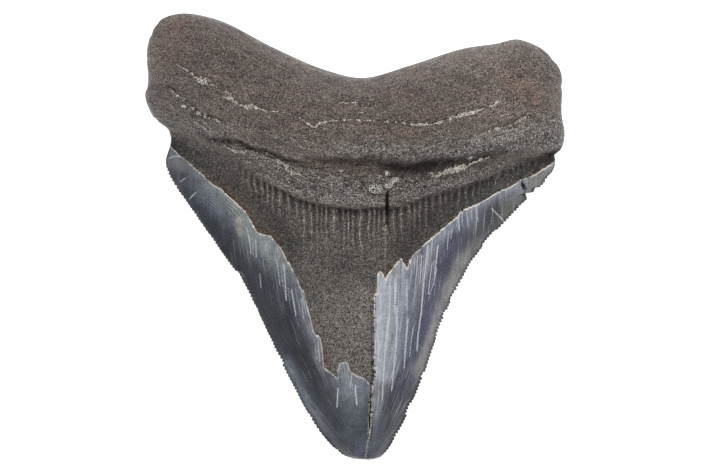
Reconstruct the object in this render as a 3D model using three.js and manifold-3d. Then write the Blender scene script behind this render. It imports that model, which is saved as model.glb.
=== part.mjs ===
// A fossil megalodon tooth, lying on its flat outer face with the bulging tongue side up.
// One piece: a blade with serrated cutting edges, worn enamel over bare dentine, and a two-lobed root.
// Millimetres, +Z up. +Y runs from the tip to the root, +X to the right seen from above,
// and the origin is on the surface it lies on, under the middle of its outline.
import * as THREE from "three";
import { mergeVertices } from "three/addons/utils/BufferGeometryUtils.js";
import Module from "manifold-3d";

const wasm = await Module();
wasm.setup();

// Driving dimensions.
const SERRATIONS_PER_STEP = 4; // serrations between two rows of the blade
const BLADE_ROWS = 25;
const ROOT_ROWS = 20;
const TOP_COLUMNS = 36;
const BASE_COLUMNS = 12; // the flat outer face needs fewer
const COLUMN_CROWDING = 0.5; // 0 spaces the columns evenly, 1 crowds them at the edges
const SERRATION_DEPTH = 0.3;
const SERRATED = { starts: [0.05, 0.1], ends: [0.93, 0.96] }; // stations where serrations come and go
const ENAMEL_THICKNESS = 0.55;
const GUM_SAG = 11.8; // how far the root's lower rim dips between the blade's shoulders
const SAG_BEND = 1.5; // 1 sags as a plain arch, more leaves both edges squarely first
const SAG_GROWTH = 1.5; // how late the sag grows from the tip to the rim
const ROOT_TAKES_OVER = [0.9, 1.2]; // stations over which the blade's section turns into the root's
const BLADE_FLARE = 1.12; // the upper face of the blade: 1 is a plain arch, more is hollow at its edges
const ROOT_ROUNDING = 0.55; // the upper face of the root: less is squarer
const BASE_ROUNDING = 0.75; // the lower face: less is squarer
const UPPER_TURN = 1.5; // the station where the upper face starts to round over the root's top
const LOWER_TURN = 1.62; // the same for the lower face
const FLAT_CUT = 0.25; // how deep the resting face is flattened
const CUTTER = { floor: -5, height: 40 }; // upright prisms reach from under the tooth to above it
const ROOT_COLOUR = 0x6b625c;

// Outline, seen from above: from the tip up both sides, and over the root.
const TIP = [2.7, -44.7];
const LEFT_JOINT = [-36.9, 18.6];
const RIGHT_JOINT = [39.9, 16.4];
const LEFT_LOBE = [-39.1, 43.0];
const RIGHT_LOBE = [39.4, 35.7];
const LEFT_BLADE = [TIP, [-1.6, -44.1], [-6.6, -39.5], [-13.6, -27.4], [-21.2, -11.4], [-29.8, 1.4],
  [-36.9, 12.0], [-37.9, 14.8], LEFT_JOINT];
const RIGHT_BLADE = [TIP, [5.0, -44.1], [8.7, -38.8], [13.1, -29.0], [18.3, -14.6], [24.3, -3.4],
  [32.1, 5.4], [39.2, 12.6], [40.1, 14.8], RIGHT_JOINT];
const LEFT_ROOT = [LEFT_JOINT, [-37.1, 20.9], [-40.4, 24.2], [-41.9, 28.2], [-41.3, 31.2],
  [-41.6, 36.4], [-41.1, 39.5], [-40.3, 41.5], LEFT_LOBE];
const RIGHT_ROOT = [RIGHT_JOINT, [41.5, 17.9], [41.9, 20.8], [41.3, 24.5], [41.4, 31.0],
  [41.1, 33.1], [40.4, 34.5], RIGHT_LOBE];
const ROOT_TOP = [LEFT_LOBE, [-37.8, 43.9], [-35.8, 44.5], [-33.2, 44.65], [-26.6, 43.1], [-16.6, 38.0],
  [-6.0, 33.4], [1.7, 31.8], [11.0, 34.3], [21.4, 37.6], [28.0, 38.6], [32.2, 39.5], [34.6, 38.9],
  [36.8, 37.9], [38.3, 36.8], RIGHT_LOBE];

// Heights along the tooth. The station is 0 at the tip, 1 at the root's lower rim and 2 at the root's top.
const EDGE_HEIGHT = [[0, 1.6], [0.3, 1.9], [0.7, 2.9], [0.94, 4.0], [1.06, 5.2], [1.3, 6.8], [2, 7.6]];
const RIDGE_HEIGHT = [[0, 1.6], [0.03, 3.0], [0.1, 4.6], [0.28, 7.4], [0.5, 10.0], [0.72, 11.8],
  [0.98, 13.0], [1.03, 14.2], [1.15, 15.8], [1.3, 17.4], [1.45, 18.9], [1.6, 19.6], [2, 19.2]];
const BASE_LIFT = [[0, 1.6], [0.05, 0.9], [0.3, 0.2], [0.5, 0], [1.4, 0], [1.75, 0.6], [2, 1.6]];

// The groove under the root's bulge: across the tooth, its place and its depth.
const GROOVE_PLACE = [[-30, 19.8], [-23, 18.6], [-16, 17.6], [-12, 15.6], [-5, 14.6], [4, 14.6],
  [13, 14.2], [20, 15.0], [26, 16.6], [33, 17.8]];
const GROOVE_DEPTH = [[-34, 0], [-30, 0.4], [-23, 1.3], [-10, 1.5], [-3, 2.1], [4, 2.9], [13, 3.2],
  [20, 2.2], [26, 1.0], [33, 0.3], [37, 0]];
const GROOVE_REACH = { above: 1.5, below: 3.4 };

// Where the enamel has gone, down the left, across near the tip, and up the right.
const ENAMEL_EDGE = [[-37.2, 18.2], [-34.9, 16.1], [-31.6, 13.6], [-28.0, 10.4], [-23.0, 6.8],
  [-20.3, 2.8], [-18.8, 1.0], [-16.7, 0.4], [-14.2, -3.3], [-12.0, -7.6], [-9.8, -11.8],
  [-8.7, -17.0], [-6.5, -21.8], [-6.3, -26.0], [-3.6, -27.8], [-3.1, -27.6], [-3.1, -25.8],
  [-2.7, -25.0], [-1.5, -25.1], [-1.1, -26.8], [2.0, -28.2], [3.2, -29.2], [3.8, -22.0],
  [3.8, -11.5], [4.3, -11.2], [4.3, -7.0], [5.2, -6.7], [5.9, -7.6], [6.9, -7.3], [8.9, -4.4],
  [9.4, -4.2], [10.3, -6.1], [11.8, -3.0], [14.1, -1.5], [16.6, 1.1], [21.0, 4.6], [25.5, 7.1],
  [30.7, 9.8], [33.2, 11.8], [37.8, 13.9], [40.3, 16.2]];

// Cracks: a stretch of points, each with the crack's half width there.
const SPLITS = [
  [[6.5, 9.4, 0.12], [6.3, 7.6, 0.36], [6.2, 4.6, 0.3], [6.3, 0.5, 0.16], [6.2, -5.0, 0.08]],
  [[3.6, -28.6, 0.06], [3.2, -31.2, 0.2], [3.1, -35.2, 0.2], [2.6, -39.4, 0.1], [2.2, -42.6, 0.05]],
];
const SPLIT_DEPTH = 1.1;
const GROWTH_CRACKS = [
  [[-37.2, 35.2, 0.06], [-33.2, 33.2, 0.2], [-30.4, 30.6, 0.3], [-26.8, 29.6, 0.2], [-24.4, 28.2, 0.1]],
  [[-23.6, 27.2, 0.08], [-21.6, 25.6, 0.3], [-17.8, 25.0, 0.24], [-14.2, 24.8, 0.2], [-10.0, 23.2, 0.3],
    [-7.8, 21.7, 0.1]],
  [[14.8, 22.2, 0.1], [17.2, 22.8, 0.3], [19.6, 23.8, 0.45], [24.0, 24.6, 0.4], [27.2, 25.8, 0.24],
    [30.6, 27.0, 0.08]],
  [[24.8, 20.0, 0.08], [28.0, 21.4, 0.35], [31.2, 22.2, 0.35], [33.6, 23.8, 0.2], [37.2, 26.0, 0.08]],
];
const GROWTH_CRACK_DEPTH = 0.45;

// The nutrient hole above the root crack, and the broken edge of the right shoulder.
const HOLE = { x: 5.4, y: 10.5, wide: 2.3, high: 1.5, deep: 1.5 };
const SHOULDER_CHIP = [[34.6, 7.2], [33.9, 9.1], [34.2, 9.4], [34.8, 9.6], [35.3, 9.3], [35.8, 8.8],
  [36.2, 10.05], [37.1, 10.0], [38.2, 9.4], [37.0, 7.2]];
const SHOULDER_CRACK = [[33.2, 11.5, 0.06], [33.5, 10.3, 0.16], [34.1, 9.1, 0.28]];

// The fine grooves that run down from the root's rim over the bare band.
const RIM_GROOVES = {
  count: 24, first: 0.2, last: 0.86, top: 0.985, length: 0.12, longer: 1.3,
  halfWidth: 0.2, endHalfWidth: 0.05, depth: 0.22,
};
const RIM_POINTS = 15; // points of the bare zone's outline along the root's lower rim

// A smooth function through [position, value] knots, level past both ends.
function through(knots) {
  const slope = (i, j) => (knots[j][1] - knots[i][1]) / (knots[j][0] - knots[i][0]);
  const last = knots.length - 1;
  const tangent = (i) => (i === 0 || i === last ? 0 : slope(i - 1, i + 1));
  return (x) => {
    if (x <= knots[0][0]) return knots[0][1];
    if (x >= knots[last][0]) return knots[last][1];
    const i = knots.findIndex((k) => x < k[0]) - 1;
    const width = knots[i + 1][0] - knots[i][0];
    const f = (x - knots[i][0]) / width;
    const f2 = f * f;
    const f3 = f2 * f;
    return (2 * f3 - 3 * f2 + 1) * knots[i][1] + (f3 - 2 * f2 + f) * width * tangent(i)
      + (3 * f2 - 2 * f3) * knots[i + 1][1] + (f3 - f2) * width * tangent(i + 1);
  };
}

// A smooth curve in plan, read by the share of its length.
function planCurve(points) {
  const places = points.map(([x, y]) => new THREE.Vector3(x, y, 0));
  const curve = new THREE.CatmullRomCurve3(places, false, "centripetal");
  curve.arcLengthDivisions = 600;
  return (share) => curve.getPointAt(Math.min(1, Math.max(0, share)));
}

const leftBlade = planCurve(LEFT_BLADE);
const rightBlade = planCurve(RIGHT_BLADE);
const leftRoot = planCurve(LEFT_ROOT);
const rightRoot = planCurve(RIGHT_ROOT);
const rootTop = planCurve(ROOT_TOP);
const edgeHeight = through(EDGE_HEIGHT);
const ridgeHeight = through(RIDGE_HEIGHT);
const baseLift = through(BASE_LIFT);
const groovePlace = through(GROOVE_PLACE);
const grooveDepth = through(GROOVE_DEPTH);

const smoothStep = (low, high, x) => THREE.MathUtils.smoothstep(x, low, high);
const leftEdge = (station) => (station <= 1 ? leftBlade(station) : leftRoot(station - 1));
const rightEdge = (station) => (station <= 1 ? rightBlade(station) : rightRoot(station - 1));

// Place in plan at a share of the way across and a station along the tooth. The rows sag between the
// edges as the gum line does, and the last rows take on the shape of the root's top.
function planPoint(across, station) {
  const left = leftEdge(station);
  const chord = left.clone().lerp(rightEdge(station), across);
  const sag = GUM_SAG * (4 * across * (1 - across)) ** SAG_BEND;
  if (station <= 1) {
    chord.y -= sag * station ** SAG_GROWTH;
    return chord;
  }
  const rise = station - 1;
  const top = rootTop(across);
  const topChord = rootTop(0).clone().lerp(rootTop(1), across);
  chord.x += (top.x - topChord.x) * rise;
  chord.y += (top.y - topChord.y) * rise - sag * (1 - rise);
  return chord;
}

// How far the upper face has risen from its edge to its ridge: a flared lens on the blade,
// a rounded block on the root, which also rounds over towards its top.
function upperFullness(across, station) {
  const side = Math.abs(2 * across - 1);
  const blade = (1 - side * side) ** BLADE_FLARE;
  const root = Math.max(0, 1 - side ** 3) ** ROOT_ROUNDING;
  const asRoot = smoothStep(...ROOT_TAKES_OVER, station);
  const past = Math.max(0, station - UPPER_TURN) / (2 - UPPER_TURN);
  return (blade + (root - blade) * asRoot) * Math.sqrt(Math.max(0, 1 - past * past));
}

// The same for the lower face, which is flat over most of its width.
function lowerFullness(across, station) {
  const side = Math.abs(2 * across - 1);
  const past = Math.max(0, station - LOWER_TURN) / (2 - LOWER_TURN);
  return Math.max(0, 1 - side ** 4) ** BASE_ROUNDING * Math.sqrt(Math.max(0, 1 - past * past));
}

// The groove's depth at a place: a steep upper wall and a long lower slope.
function grooveCut(x, y) {
  const away = y - groovePlace(x);
  const reach = away > 0 ? GROOVE_REACH.above : GROOVE_REACH.below;
  return grooveDepth(x) * Math.exp(-((away / reach) ** 2));
}

function upperPoint(across, station) {
  const p = planPoint(across, station);
  const edge = edgeHeight(station);
  const full = upperFullness(across, station);
  p.z = edge + (ridgeHeight(station) - edge) * full - grooveCut(p.x, p.y) * smoothStep(0, 0.5, full);
  return p;
}

function lowerPoint(across, station) {
  const p = planPoint(across, station);
  const edge = edgeHeight(station);
  const floor = baseLift(station) - FLAT_CUT;
  p.z = Math.max(0, edge + (floor - edge) * lowerFullness(across, station));
  return p;
}

// A point of the cutting edge, pulled in at every valley between two serrations.
function edgePoint(edgeAt, station, isValley) {
  const p = edgeAt(station);
  p.z = edgeHeight(station);
  const sharp = smoothStep(...SERRATED.starts, station) * (1 - smoothStep(...SERRATED.ends, station));
  if (isValley && sharp > 0) {
    const ahead = edgeAt(Math.min(1, station + 0.01)).sub(edgeAt(station - 0.01));
    const inward = new THREE.Vector3(ahead.y, -ahead.x, 0).normalize();
    if (edgeAt === rightEdge) inward.negate();
    p.x += inward.x * SERRATION_DEPTH * sharp;
    p.y += inward.y * SERRATION_DEPTH * sharp;
  }
  return p;
}

// Triangles between two lines of vertex numbers that run side by side, of any lengths.
function zip(a, b, flip, faces) {
  let i = 0;
  let j = 0;
  while (i < a.length - 1 || j < b.length - 1) {
    const stepA = j === b.length - 1
      || (i < a.length - 1 && (i + 1) / (a.length - 1) <= (j + 1) / (b.length - 1));
    const face = stepA ? [a[i], a[i + 1], b[j]] : [a[i], b[j + 1], b[j]];
    if (stepA) i += 1;
    else j += 1;
    if (new Set(face).size === 3) faces.push(flip ? face.reverse() : face);
  }
}

// Shares across the tooth, crowded a little towards both edges.
function columnShares(count) {
  return Array.from({ length: count + 1 }, (_, j) => {
    const even = j / count;
    return even - COLUMN_CROWDING * Math.sin(2 * Math.PI * even) / (2 * Math.PI);
  });
}

// The whole tooth as one closed skin: an upper and a lower face that share both edges and the root's top.
function toothSkin() {
  const vertices = [];
  const faces = [];
  const add = (p) => vertices.push(p.x, p.y, p.z) / 3 - 1;
  const steps = 2 * SERRATIONS_PER_STEP;
  const bladeStations = Array.from({ length: BLADE_ROWS }, (_, i) => (i + 1) / BLADE_ROWS);
  const rootStations = Array.from({ length: ROOT_ROWS - 1 }, (_, i) => 1 + (i + 1) / ROOT_ROWS);
  const tip = add(edgePoint(leftEdge, 0, false));

  const edgeLine = (edgeAt) => {
    const line = [tip];
    for (let m = 1; m <= BLADE_ROWS * steps; m += 1)
      line.push(add(edgePoint(edgeAt, m / (BLADE_ROWS * steps), m % 2 === 0)));
    return line.concat(rootStations.map((s) => add(edgePoint(edgeAt, s, false))));
  };
  const leftLine = edgeLine(leftEdge);
  const rightLine = edgeLine(rightEdge);

  const topShares = columnShares(TOP_COLUMNS);
  const baseShares = columnShares(BASE_COLUMNS);
  const crest = topShares.map((s) => add(upperPoint(s, 2)));
  const stations = bladeStations.concat(rootStations);
  const upper = topShares.slice(1, -1).map((s, j) =>
    [tip, ...stations.map((t) => add(upperPoint(s, t))), crest[j + 1]]);
  const lower = baseShares.slice(1, -1).map((s) => [tip, ...stations.map((t) => add(lowerPoint(s, t)))]);

  // Beside the serrations one step of a column meets several steps of the edge.
  const zipToEdge = (edge, column, flip) => {
    const ends = [0, ...bladeStations.map((_, i) => (i + 1) * steps)];
    ends.slice(1).forEach((end, i) => {
      zip(edge.slice(ends[i], end + 1), column.slice(i, i + 2), flip, faces);
    });
    zip(edge.slice(ends.at(-1)), column.slice(BLADE_ROWS), flip, faces);
  };
  zipToEdge([...leftLine, crest[0]], upper[0], true);
  upper.slice(1).forEach((column, j) => zip(upper[j], column, true, faces));
  zipToEdge([...rightLine, crest.at(-1)], upper.at(-1), false);
  zipToEdge(leftLine, lower[0], false);
  lower.slice(1).forEach((column, j) => zip(lower[j], column, false, faces));
  zipToEdge(rightLine, lower.at(-1), true);
  zip([leftLine.at(-1), ...lower.map((c) => c.at(-1)), rightLine.at(-1)], crest, true, faces);
  return solid(vertices, faces.flat());
}

function solid(vertices, indices) {
  return new wasm.Manifold(new wasm.Mesh({
    numProp: 3, vertProperties: new Float32Array(vertices), triVerts: new Uint32Array(indices),
  }));
}

// An upright prism over a closed outline, from the floor to above the tooth.
function prism(outline) {
  const shape = new THREE.Shape(outline.map(([x, y]) => new THREE.Vector2(x, y)));
  const geometry = new THREE.ExtrudeGeometry(shape, { depth: CUTTER.height, bevelEnabled: false });
  geometry.translate(0, 0, CUTTER.floor);
  return closed(geometry);
}

function closed(geometry) {
  geometry.deleteAttribute("normal");
  geometry.deleteAttribute("uv");
  const merged = mergeVertices(geometry, 1e-4);
  return solid(merged.attributes.position.array, merged.index.array);
}

// Sinks the upper face inside some outlines by an even depth.
function sink(tooth, outlines, depth) {
  const zone = outlines.map(prism).reduce((all, one) => all.add(one));
  return tooth.subtract(zone.subtract(tooth.translate([0, 0, -depth])));
}

// The plan of a crack: out along one side of its middle line and back along the other.
function crackOutline(stretch) {
  const side = (sign) => stretch.map(([x, y, half], i) => {
    const from = stretch[Math.max(0, i - 1)];
    const to = stretch[Math.min(stretch.length - 1, i + 1)];
    const along = new THREE.Vector2(to[0] - from[0], to[1] - from[1]).normalize();
    return [x - along.y * half * sign, y + along.x * half * sign];
  });
  return side(1).concat(side(-1).reverse());
}

// One fine groove below the rim, widest in its middle; every third one is longer.
function rimGroove(i) {
  const across = THREE.MathUtils.lerp(RIM_GROOVES.first, RIM_GROOVES.last, i / (RIM_GROOVES.count - 1));
  const length = RIM_GROOVES.length * (i % 3 === 0 ? RIM_GROOVES.longer : 0.9 + 0.2 * Math.sin(5 * i));
  return [0, 0.4, 1].map((share, k) => {
    const p = planPoint(across, RIM_GROOVES.top - length * share);
    return [p.x, p.y, k === 1 ? RIM_GROOVES.halfWidth : RIM_GROOVES.endHalfWidth];
  });
}

// The bare zone runs from the enamel's edge up to the root's lower rim.
function bareZone() {
  const rim = Array.from({ length: RIM_POINTS }, (_, i) => {
    const p = planPoint(0.985 - 0.97 * (i / (RIM_POINTS - 1)), 1);
    return [p.x, p.y];
  });
  return ENAMEL_EDGE.concat(rim);
}

function nutrientHole() {
  const geometry = new THREE.SphereGeometry(1, 12, 8);
  geometry.rotateX(Math.PI / 2);
  geometry.scale(HOLE.wide, HOLE.high, HOLE.deep);
  return closed(geometry).translate([HOLE.x, HOLE.y, surfaceHeight(HOLE.x, HOLE.y)]);
}

// The upper face's height over a point near the root's rim: that of the nearest of a net of its places.
function surfaceHeight(x, y) {
  let best = { gap: Infinity, z: 0 };
  for (let across = 0.3; across < 0.7; across += 0.01) {
    for (let station = 0.9; station < 1.6; station += 0.01) {
      const p = upperPoint(across, station);
      const gap = Math.hypot(p.x - x, p.y - y);
      if (gap < best.gap) best = { gap, z: p.z };
    }
  }
  return best.z;
}

function toothSolid() {
  let tooth = toothSkin();
  const rimGrooves = Array.from({ length: RIM_GROOVES.count }, (_, i) => crackOutline(rimGroove(i)));
  tooth = sink(tooth, [bareZone()], ENAMEL_THICKNESS);
  tooth = sink(tooth, rimGrooves, RIM_GROOVES.depth);
  tooth = sink(tooth, GROWTH_CRACKS.map(crackOutline), GROWTH_CRACK_DEPTH);
  tooth = tooth.subtract(nutrientHole());
  tooth = sink(tooth, SPLITS.map(crackOutline), SPLIT_DEPTH);
  return tooth.subtract(prism(SHOULDER_CHIP)).subtract(prism(crackOutline(SHOULDER_CRACK)));
}

function asGeometry(manifold) {
  const mesh = manifold.getMesh();
  const geometry = new THREE.BufferGeometry();
  geometry.setAttribute("position", new THREE.BufferAttribute(mesh.vertProperties, 3));
  geometry.setIndex(new THREE.BufferAttribute(mesh.triVerts, 1));
  geometry.computeVertexNormals();
  return geometry;
}

const fossil = new THREE.MeshStandardMaterial({ color: ROOT_COLOUR, roughness: 0.8, metalness: 0 });
const tooth = new THREE.Mesh(asGeometry(toothSolid()), fossil);
tooth.name = "tooth";

const group = new THREE.Group();
group.add(tooth);
export default group;
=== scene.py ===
"""A fossil megalodon tooth, seen from straight above as it lies on its flat outer face.

Every form is worked out in millimetres with numpy and put into the mesh in metres. The tooth is one
skin over two parameters: the share across it, and the station along it, which is 0 at the tip, 1 at the
root's lower rim and 2 at the root's top. +Y runs from the tip to the root, and +Z is up.
"""
import bpy
import bmesh
import numpy as np
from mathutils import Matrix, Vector


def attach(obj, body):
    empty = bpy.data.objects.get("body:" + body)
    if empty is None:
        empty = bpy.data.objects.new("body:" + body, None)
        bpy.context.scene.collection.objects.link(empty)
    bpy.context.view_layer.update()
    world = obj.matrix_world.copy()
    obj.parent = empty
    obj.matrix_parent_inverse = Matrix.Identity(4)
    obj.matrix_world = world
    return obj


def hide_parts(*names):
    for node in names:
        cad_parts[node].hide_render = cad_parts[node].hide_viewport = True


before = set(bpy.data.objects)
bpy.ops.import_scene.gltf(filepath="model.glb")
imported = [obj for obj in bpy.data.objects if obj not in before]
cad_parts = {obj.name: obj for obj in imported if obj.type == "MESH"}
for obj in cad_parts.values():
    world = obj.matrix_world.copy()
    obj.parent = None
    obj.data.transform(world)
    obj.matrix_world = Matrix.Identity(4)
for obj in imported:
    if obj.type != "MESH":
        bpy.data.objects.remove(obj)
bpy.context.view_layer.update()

# Outline and heights

TIP = (2.7, -44.7)
LEFT_JOINT = (-36.9, 18.6)
RIGHT_JOINT = (39.9, 16.4)
LEFT_LOBE = (-39.1, 43.0)
RIGHT_LOBE = (39.4, 35.7)
LEFT_BLADE = [TIP, (-1.6, -44.1), (-6.6, -39.5), (-13.6, -27.4), (-21.2, -11.4), (-29.8, 1.4),
              (-36.9, 12.0), (-37.9, 14.8), LEFT_JOINT]
RIGHT_BLADE = [TIP, (5.0, -44.1), (8.7, -38.8), (13.1, -29.0), (18.3, -14.6), (24.3, -3.4),
               (32.1, 5.4), (39.2, 12.6), (40.1, 14.8), RIGHT_JOINT]
LEFT_ROOT = [LEFT_JOINT, (-37.1, 20.9), (-40.4, 24.2), (-41.9, 28.2), (-41.3, 31.2), (-41.6, 36.4),
             (-41.1, 39.5), (-40.3, 41.5), LEFT_LOBE]
RIGHT_ROOT = [RIGHT_JOINT, (41.5, 17.9), (41.9, 20.8), (41.3, 24.5), (41.4, 31.0),
              (41.1, 33.1), (40.4, 34.5), RIGHT_LOBE]
ROOT_TOP = [LEFT_LOBE, (-37.8, 43.9), (-35.8, 44.5), (-33.2, 44.65), (-26.6, 43.1), (-16.6, 38.0),
            (-6.0, 33.4), (1.7, 31.8), (11.0, 34.3), (21.4, 37.6), (28.0, 38.6), (32.2, 39.5),
            (34.6, 38.9), (36.8, 37.9), (38.3, 36.8), RIGHT_LOBE]
GUM_SAG = 11.8
SAG_BEND = 1.5  # powers of the sag, across the tooth and along the blade
SAG_GROWTH = 1.5
FLAT_CUT = 0.25
ENAMEL_THICKNESS = 0.5
BLADE_FLARE = 1.12  # powers that round the blade, the root's sides and the lower face
ROOT_ROUNDING = 0.55
BASE_ROUNDING = 0.75
UPPER_TURN = 1.5  # stations where the two faces start to round over the root's top
LOWER_TURN = 1.62

EDGE_HEIGHT = [(0, 1.6), (0.3, 1.9), (0.7, 2.9), (0.94, 4.0), (1.06, 5.2), (1.3, 6.8), (2, 7.6)]
RIDGE_HEIGHT = [(0, 1.6), (0.03, 3.0), (0.1, 4.6), (0.28, 7.4), (0.5, 10.0), (0.72, 11.8),
                (0.98, 13.0), (1.03, 14.2), (1.15, 15.8), (1.3, 17.4), (1.45, 18.9), (1.6, 19.6), (2, 19.2)]
BASE_LIFT = [(0, 1.6), (0.05, 0.9), (0.3, 0.2), (0.5, 0), (1.4, 0), (1.75, 0.6), (2, 1.6)]
STRAND_SPREAD = [(-44.7, 0.08), (-38, 0.28), (-32, 0.46), (-26.6, 0.60), (-21.8, 0.74), (-15.4, 0.87),
                 (-9.2, 0.93), (-1.6, 0.98), (10, 1.0)]
GROOVE_PLACE = [(-30, 19.8), (-23, 18.6), (-16, 17.6), (-12, 15.6), (-5, 14.6), (4, 14.6), (13, 14.2),
                (20, 15.0), (26, 16.6), (33, 17.8)]
GROOVE_DEPTH = [(-34, 0), (-30, 0.4), (-23, 1.3), (-10, 1.5), (-3, 2.1), (4, 2.9), (13, 3.2), (20, 2.2),
                (26, 1.0), (33, 0.3), (37, 0)]
GROOVE_DEEPEST = 3.2
GROOVE_ABOVE = 1.5  # widths of the groove's two walls
GROOVE_BELOW = 3.4

CUTTING_EDGE = 77.0  # from the tip to the root, along one side
SERRATION_PITCH = 0.775
# The bite out of the right shoulder: its start, the way along it, and its depths on that way.
CHIP_START = (34.5, 7.7)
CHIP_WAY = (0.751, 0.661)
SHOULDER_CHIP = [(-0.05, 0), (0.32, 0.75), (0.84, 1.5), (1.2, 1.3), (1.47, 0.95), (1.69, 0.05), (2, 0.1),
                 (2.22, 0.28), (2.93, 0.55), (3.1, 0.5), (3.4, 0.1)]

# Places of the marks

ENAMEL_EDGE = [
    (-36.8, 18.1), (-35.0, 16.3), (-33.4, 15.2), (-31.7, 13.6), (-30.0, 12.0), (-28.6, 10.8), (-26.4, 9.4),
    (-25.4, 8.3), (-24.0, 7.2), (-22.7, 5.8), (-21.9, 5.2), (-21.0, 3.7), (-20.2, 2.2), (-19.4, 0.9),
    (-18.0, 0.5), (-16.8, 0.3), (-16.0, -0.6), (-15.2, -1.6), (-14.4, -2.8), (-13.8, -4.1), (-13.0, -5.3),
    (-12.2, -6.8), (-11.4, -8.4), (-10.8, -10.0), (-10.0, -11.0), (-9.5, -13.2), (-9.1, -15.1),
    (-8.3, -18.8), (-7.0, -20.0), (-6.5, -21.8), (-6.3, -23.9), (-6.2, -26.1), (-4.8, -27.0), (-3.6, -28.0),
    (-3.3, -25.3), (-2.4, -24.8), (-1.4, -25.1), (-1.1, -26.6), (0.3, -27.6), (1.7, -28.1), (2.8, -29.0),
    (3.1, -29.6), (3.6, -29.6), (3.7, -24.9), (3.8, -21.8), (3.7, -15.4), (3.7, -11.5), (4.2, -11.2),
    (4.2, -9.5), (4.3, -7.8), (4.7, -7.0), (5.1, -6.7), (5.5, -7.1), (5.9, -8.2), (6.2, -8.2), (6.3, -7.6),
    (7.2, -6.4), (8.3, -5.1), (9.3, -4.2), (10.0, -5.4), (10.3, -6.4), (11.0, -4.4), (11.9, -3.0),
    (13.0, -2.3), (14.0, -1.2), (16.4, 0.8), (20.0, 3.8), (21.0, 5.0), (22.8, 6.0), (24.4, 6.6), (26.2, 7.6),
    (28.5, 9.0), (31.2, 10.2), (33.2, 11.5), (35.5, 12.3), (37.4, 13.5), (39.4, 14.8), (42.0, 16.6)]
BEYOND_ROOT = [(60, 30), (60, 70), (-60, 70), (-60, 30), (-44, 22)]
LIP = [(-36, 20.6), (-30, 18.4), (-24.0, 15.2), (-18.6, 11.2), (-13.4, 8.8), (-11.4, 7.6), (-9.2, 7.1),
       (-7.0, 6.2), (-5.0, 6.0), (-0.8, 5.6), (1.8, 5.7), (5.8, 5.7), (8.8, 6.0), (11.0, 6.6), (14.4, 8.0),
       (20.0, 9.4), (27.0, 12.0), (35.0, 15.2), (42, 18.4)]
OVERHANG = [(-31.8, 21.6), (-28.6, 19.8), (-23.0, 19.0), (-18.6, 17.2), (-14.6, 15.6), (-10.6, 14.6),
            (-5.0, 14.4), (2.0, 14.8), (7.0, 14.2), (12.0, 14.0), (17.2, 14.8), (21.4, 15.0), (25.4, 16.2),
            (29.0, 17.2)]
# Each growth crack: its places, and how much pale mineral fills it along its length.
GROWTH_CRACKS = [
    ([(-37.6, 35.4), (-35, 34), (-33.2, 33.2), (-31.6, 31.8), (-30.4, 30.8), (-28.6, 30.2), (-26.8, 29.6),
      (-24.4, 28.2)], (-0.24, -0.16, 0.02, 0.06, 0.24, 0.02, -0.14, 0)),
    ([(-26, 28.6), (-24.6, 27.2), (-23, 26.4), (-21.6, 25.6), (-19.8, 25.8), (-17.8, 25), (-14.2, 24.6),
      (-11.8, 24), (-10, 23), (-9, 22), (-7.8, 21.7), (-7, 22.6), (-6, 22.8), (-1, 23.2), (3.4, 23)],
      (-0.1, 0.12, 0.02, 0.2, 0.22, 0.04, -0.1, -0.12, 0, 0.16, 0.2, 0.08, 0.04, -0.06, -0.08)),
    ([(3.4, 23), (7.8, 22.6), (12.2, 22.2), (14.8, 22.2), (17.2, 22.8), (19.6, 23.8), (21.6, 24.2),
      (24, 24.8), (25.8, 25.6), (27.2, 26), (29, 27), (30.6, 27.4)],
      (-0.06, -0.04, 0.02, 0.1, 0.08, 0.22, 0.28, 0.24, -0.04, 0.1, 0.08, -0.1)),
    ([(-37, 29.6), (-33.8, 27), (-32.2, 25.6), (-30.6, 24.2), (-29.2, 23.8), (-26.6, 22.8)],
      (0, 0.02, 0.06, 0.08, 0.1, 0.02)),
    ([(-3, 26.6), (-0.2, 26.6), (1.4, 25.6), (4, 25.6)], (0.04, 0.08, 0.04, 0.04)),
    ([(24.8, 20.4), (26.4, 21), (28, 21.4), (29.6, 21.8), (31.2, 22.4), (32.6, 23.2), (33.6, 23.8),
      (35.2, 25), (37.2, 26)], (-0.1, 0, 0.06, 0, -0.1, 0.08, 0.08, -0.06, -0.12)),
    ([(-25.8, 18.2), (-24.6, 17.4), (-23, 16.6), (-21.6, 17.2)], (0.1, 0.14, 0.2, 0.06)),
    ([(-18.6, 17.2), (-17, 16.4), (-16.2, 16), (-15, 15), (-14, 14.4), (-12.8, 12.8), (-10.4, 12.4)],
      (0.02, 0.1, 0.16, 0.22, 0.2, 0.24, 0.06)),
    ([(15.2, 12), (16.6, 12.2), (18.4, 13), (20.6, 13.6), (22.2, 14), (23.2, 14.6), (25.4, 15.6),
      (26.6, 15.8)], (0, 0.2, 0.46, 0.52, 0.24, 0, 0.12, 0)),
]
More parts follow.
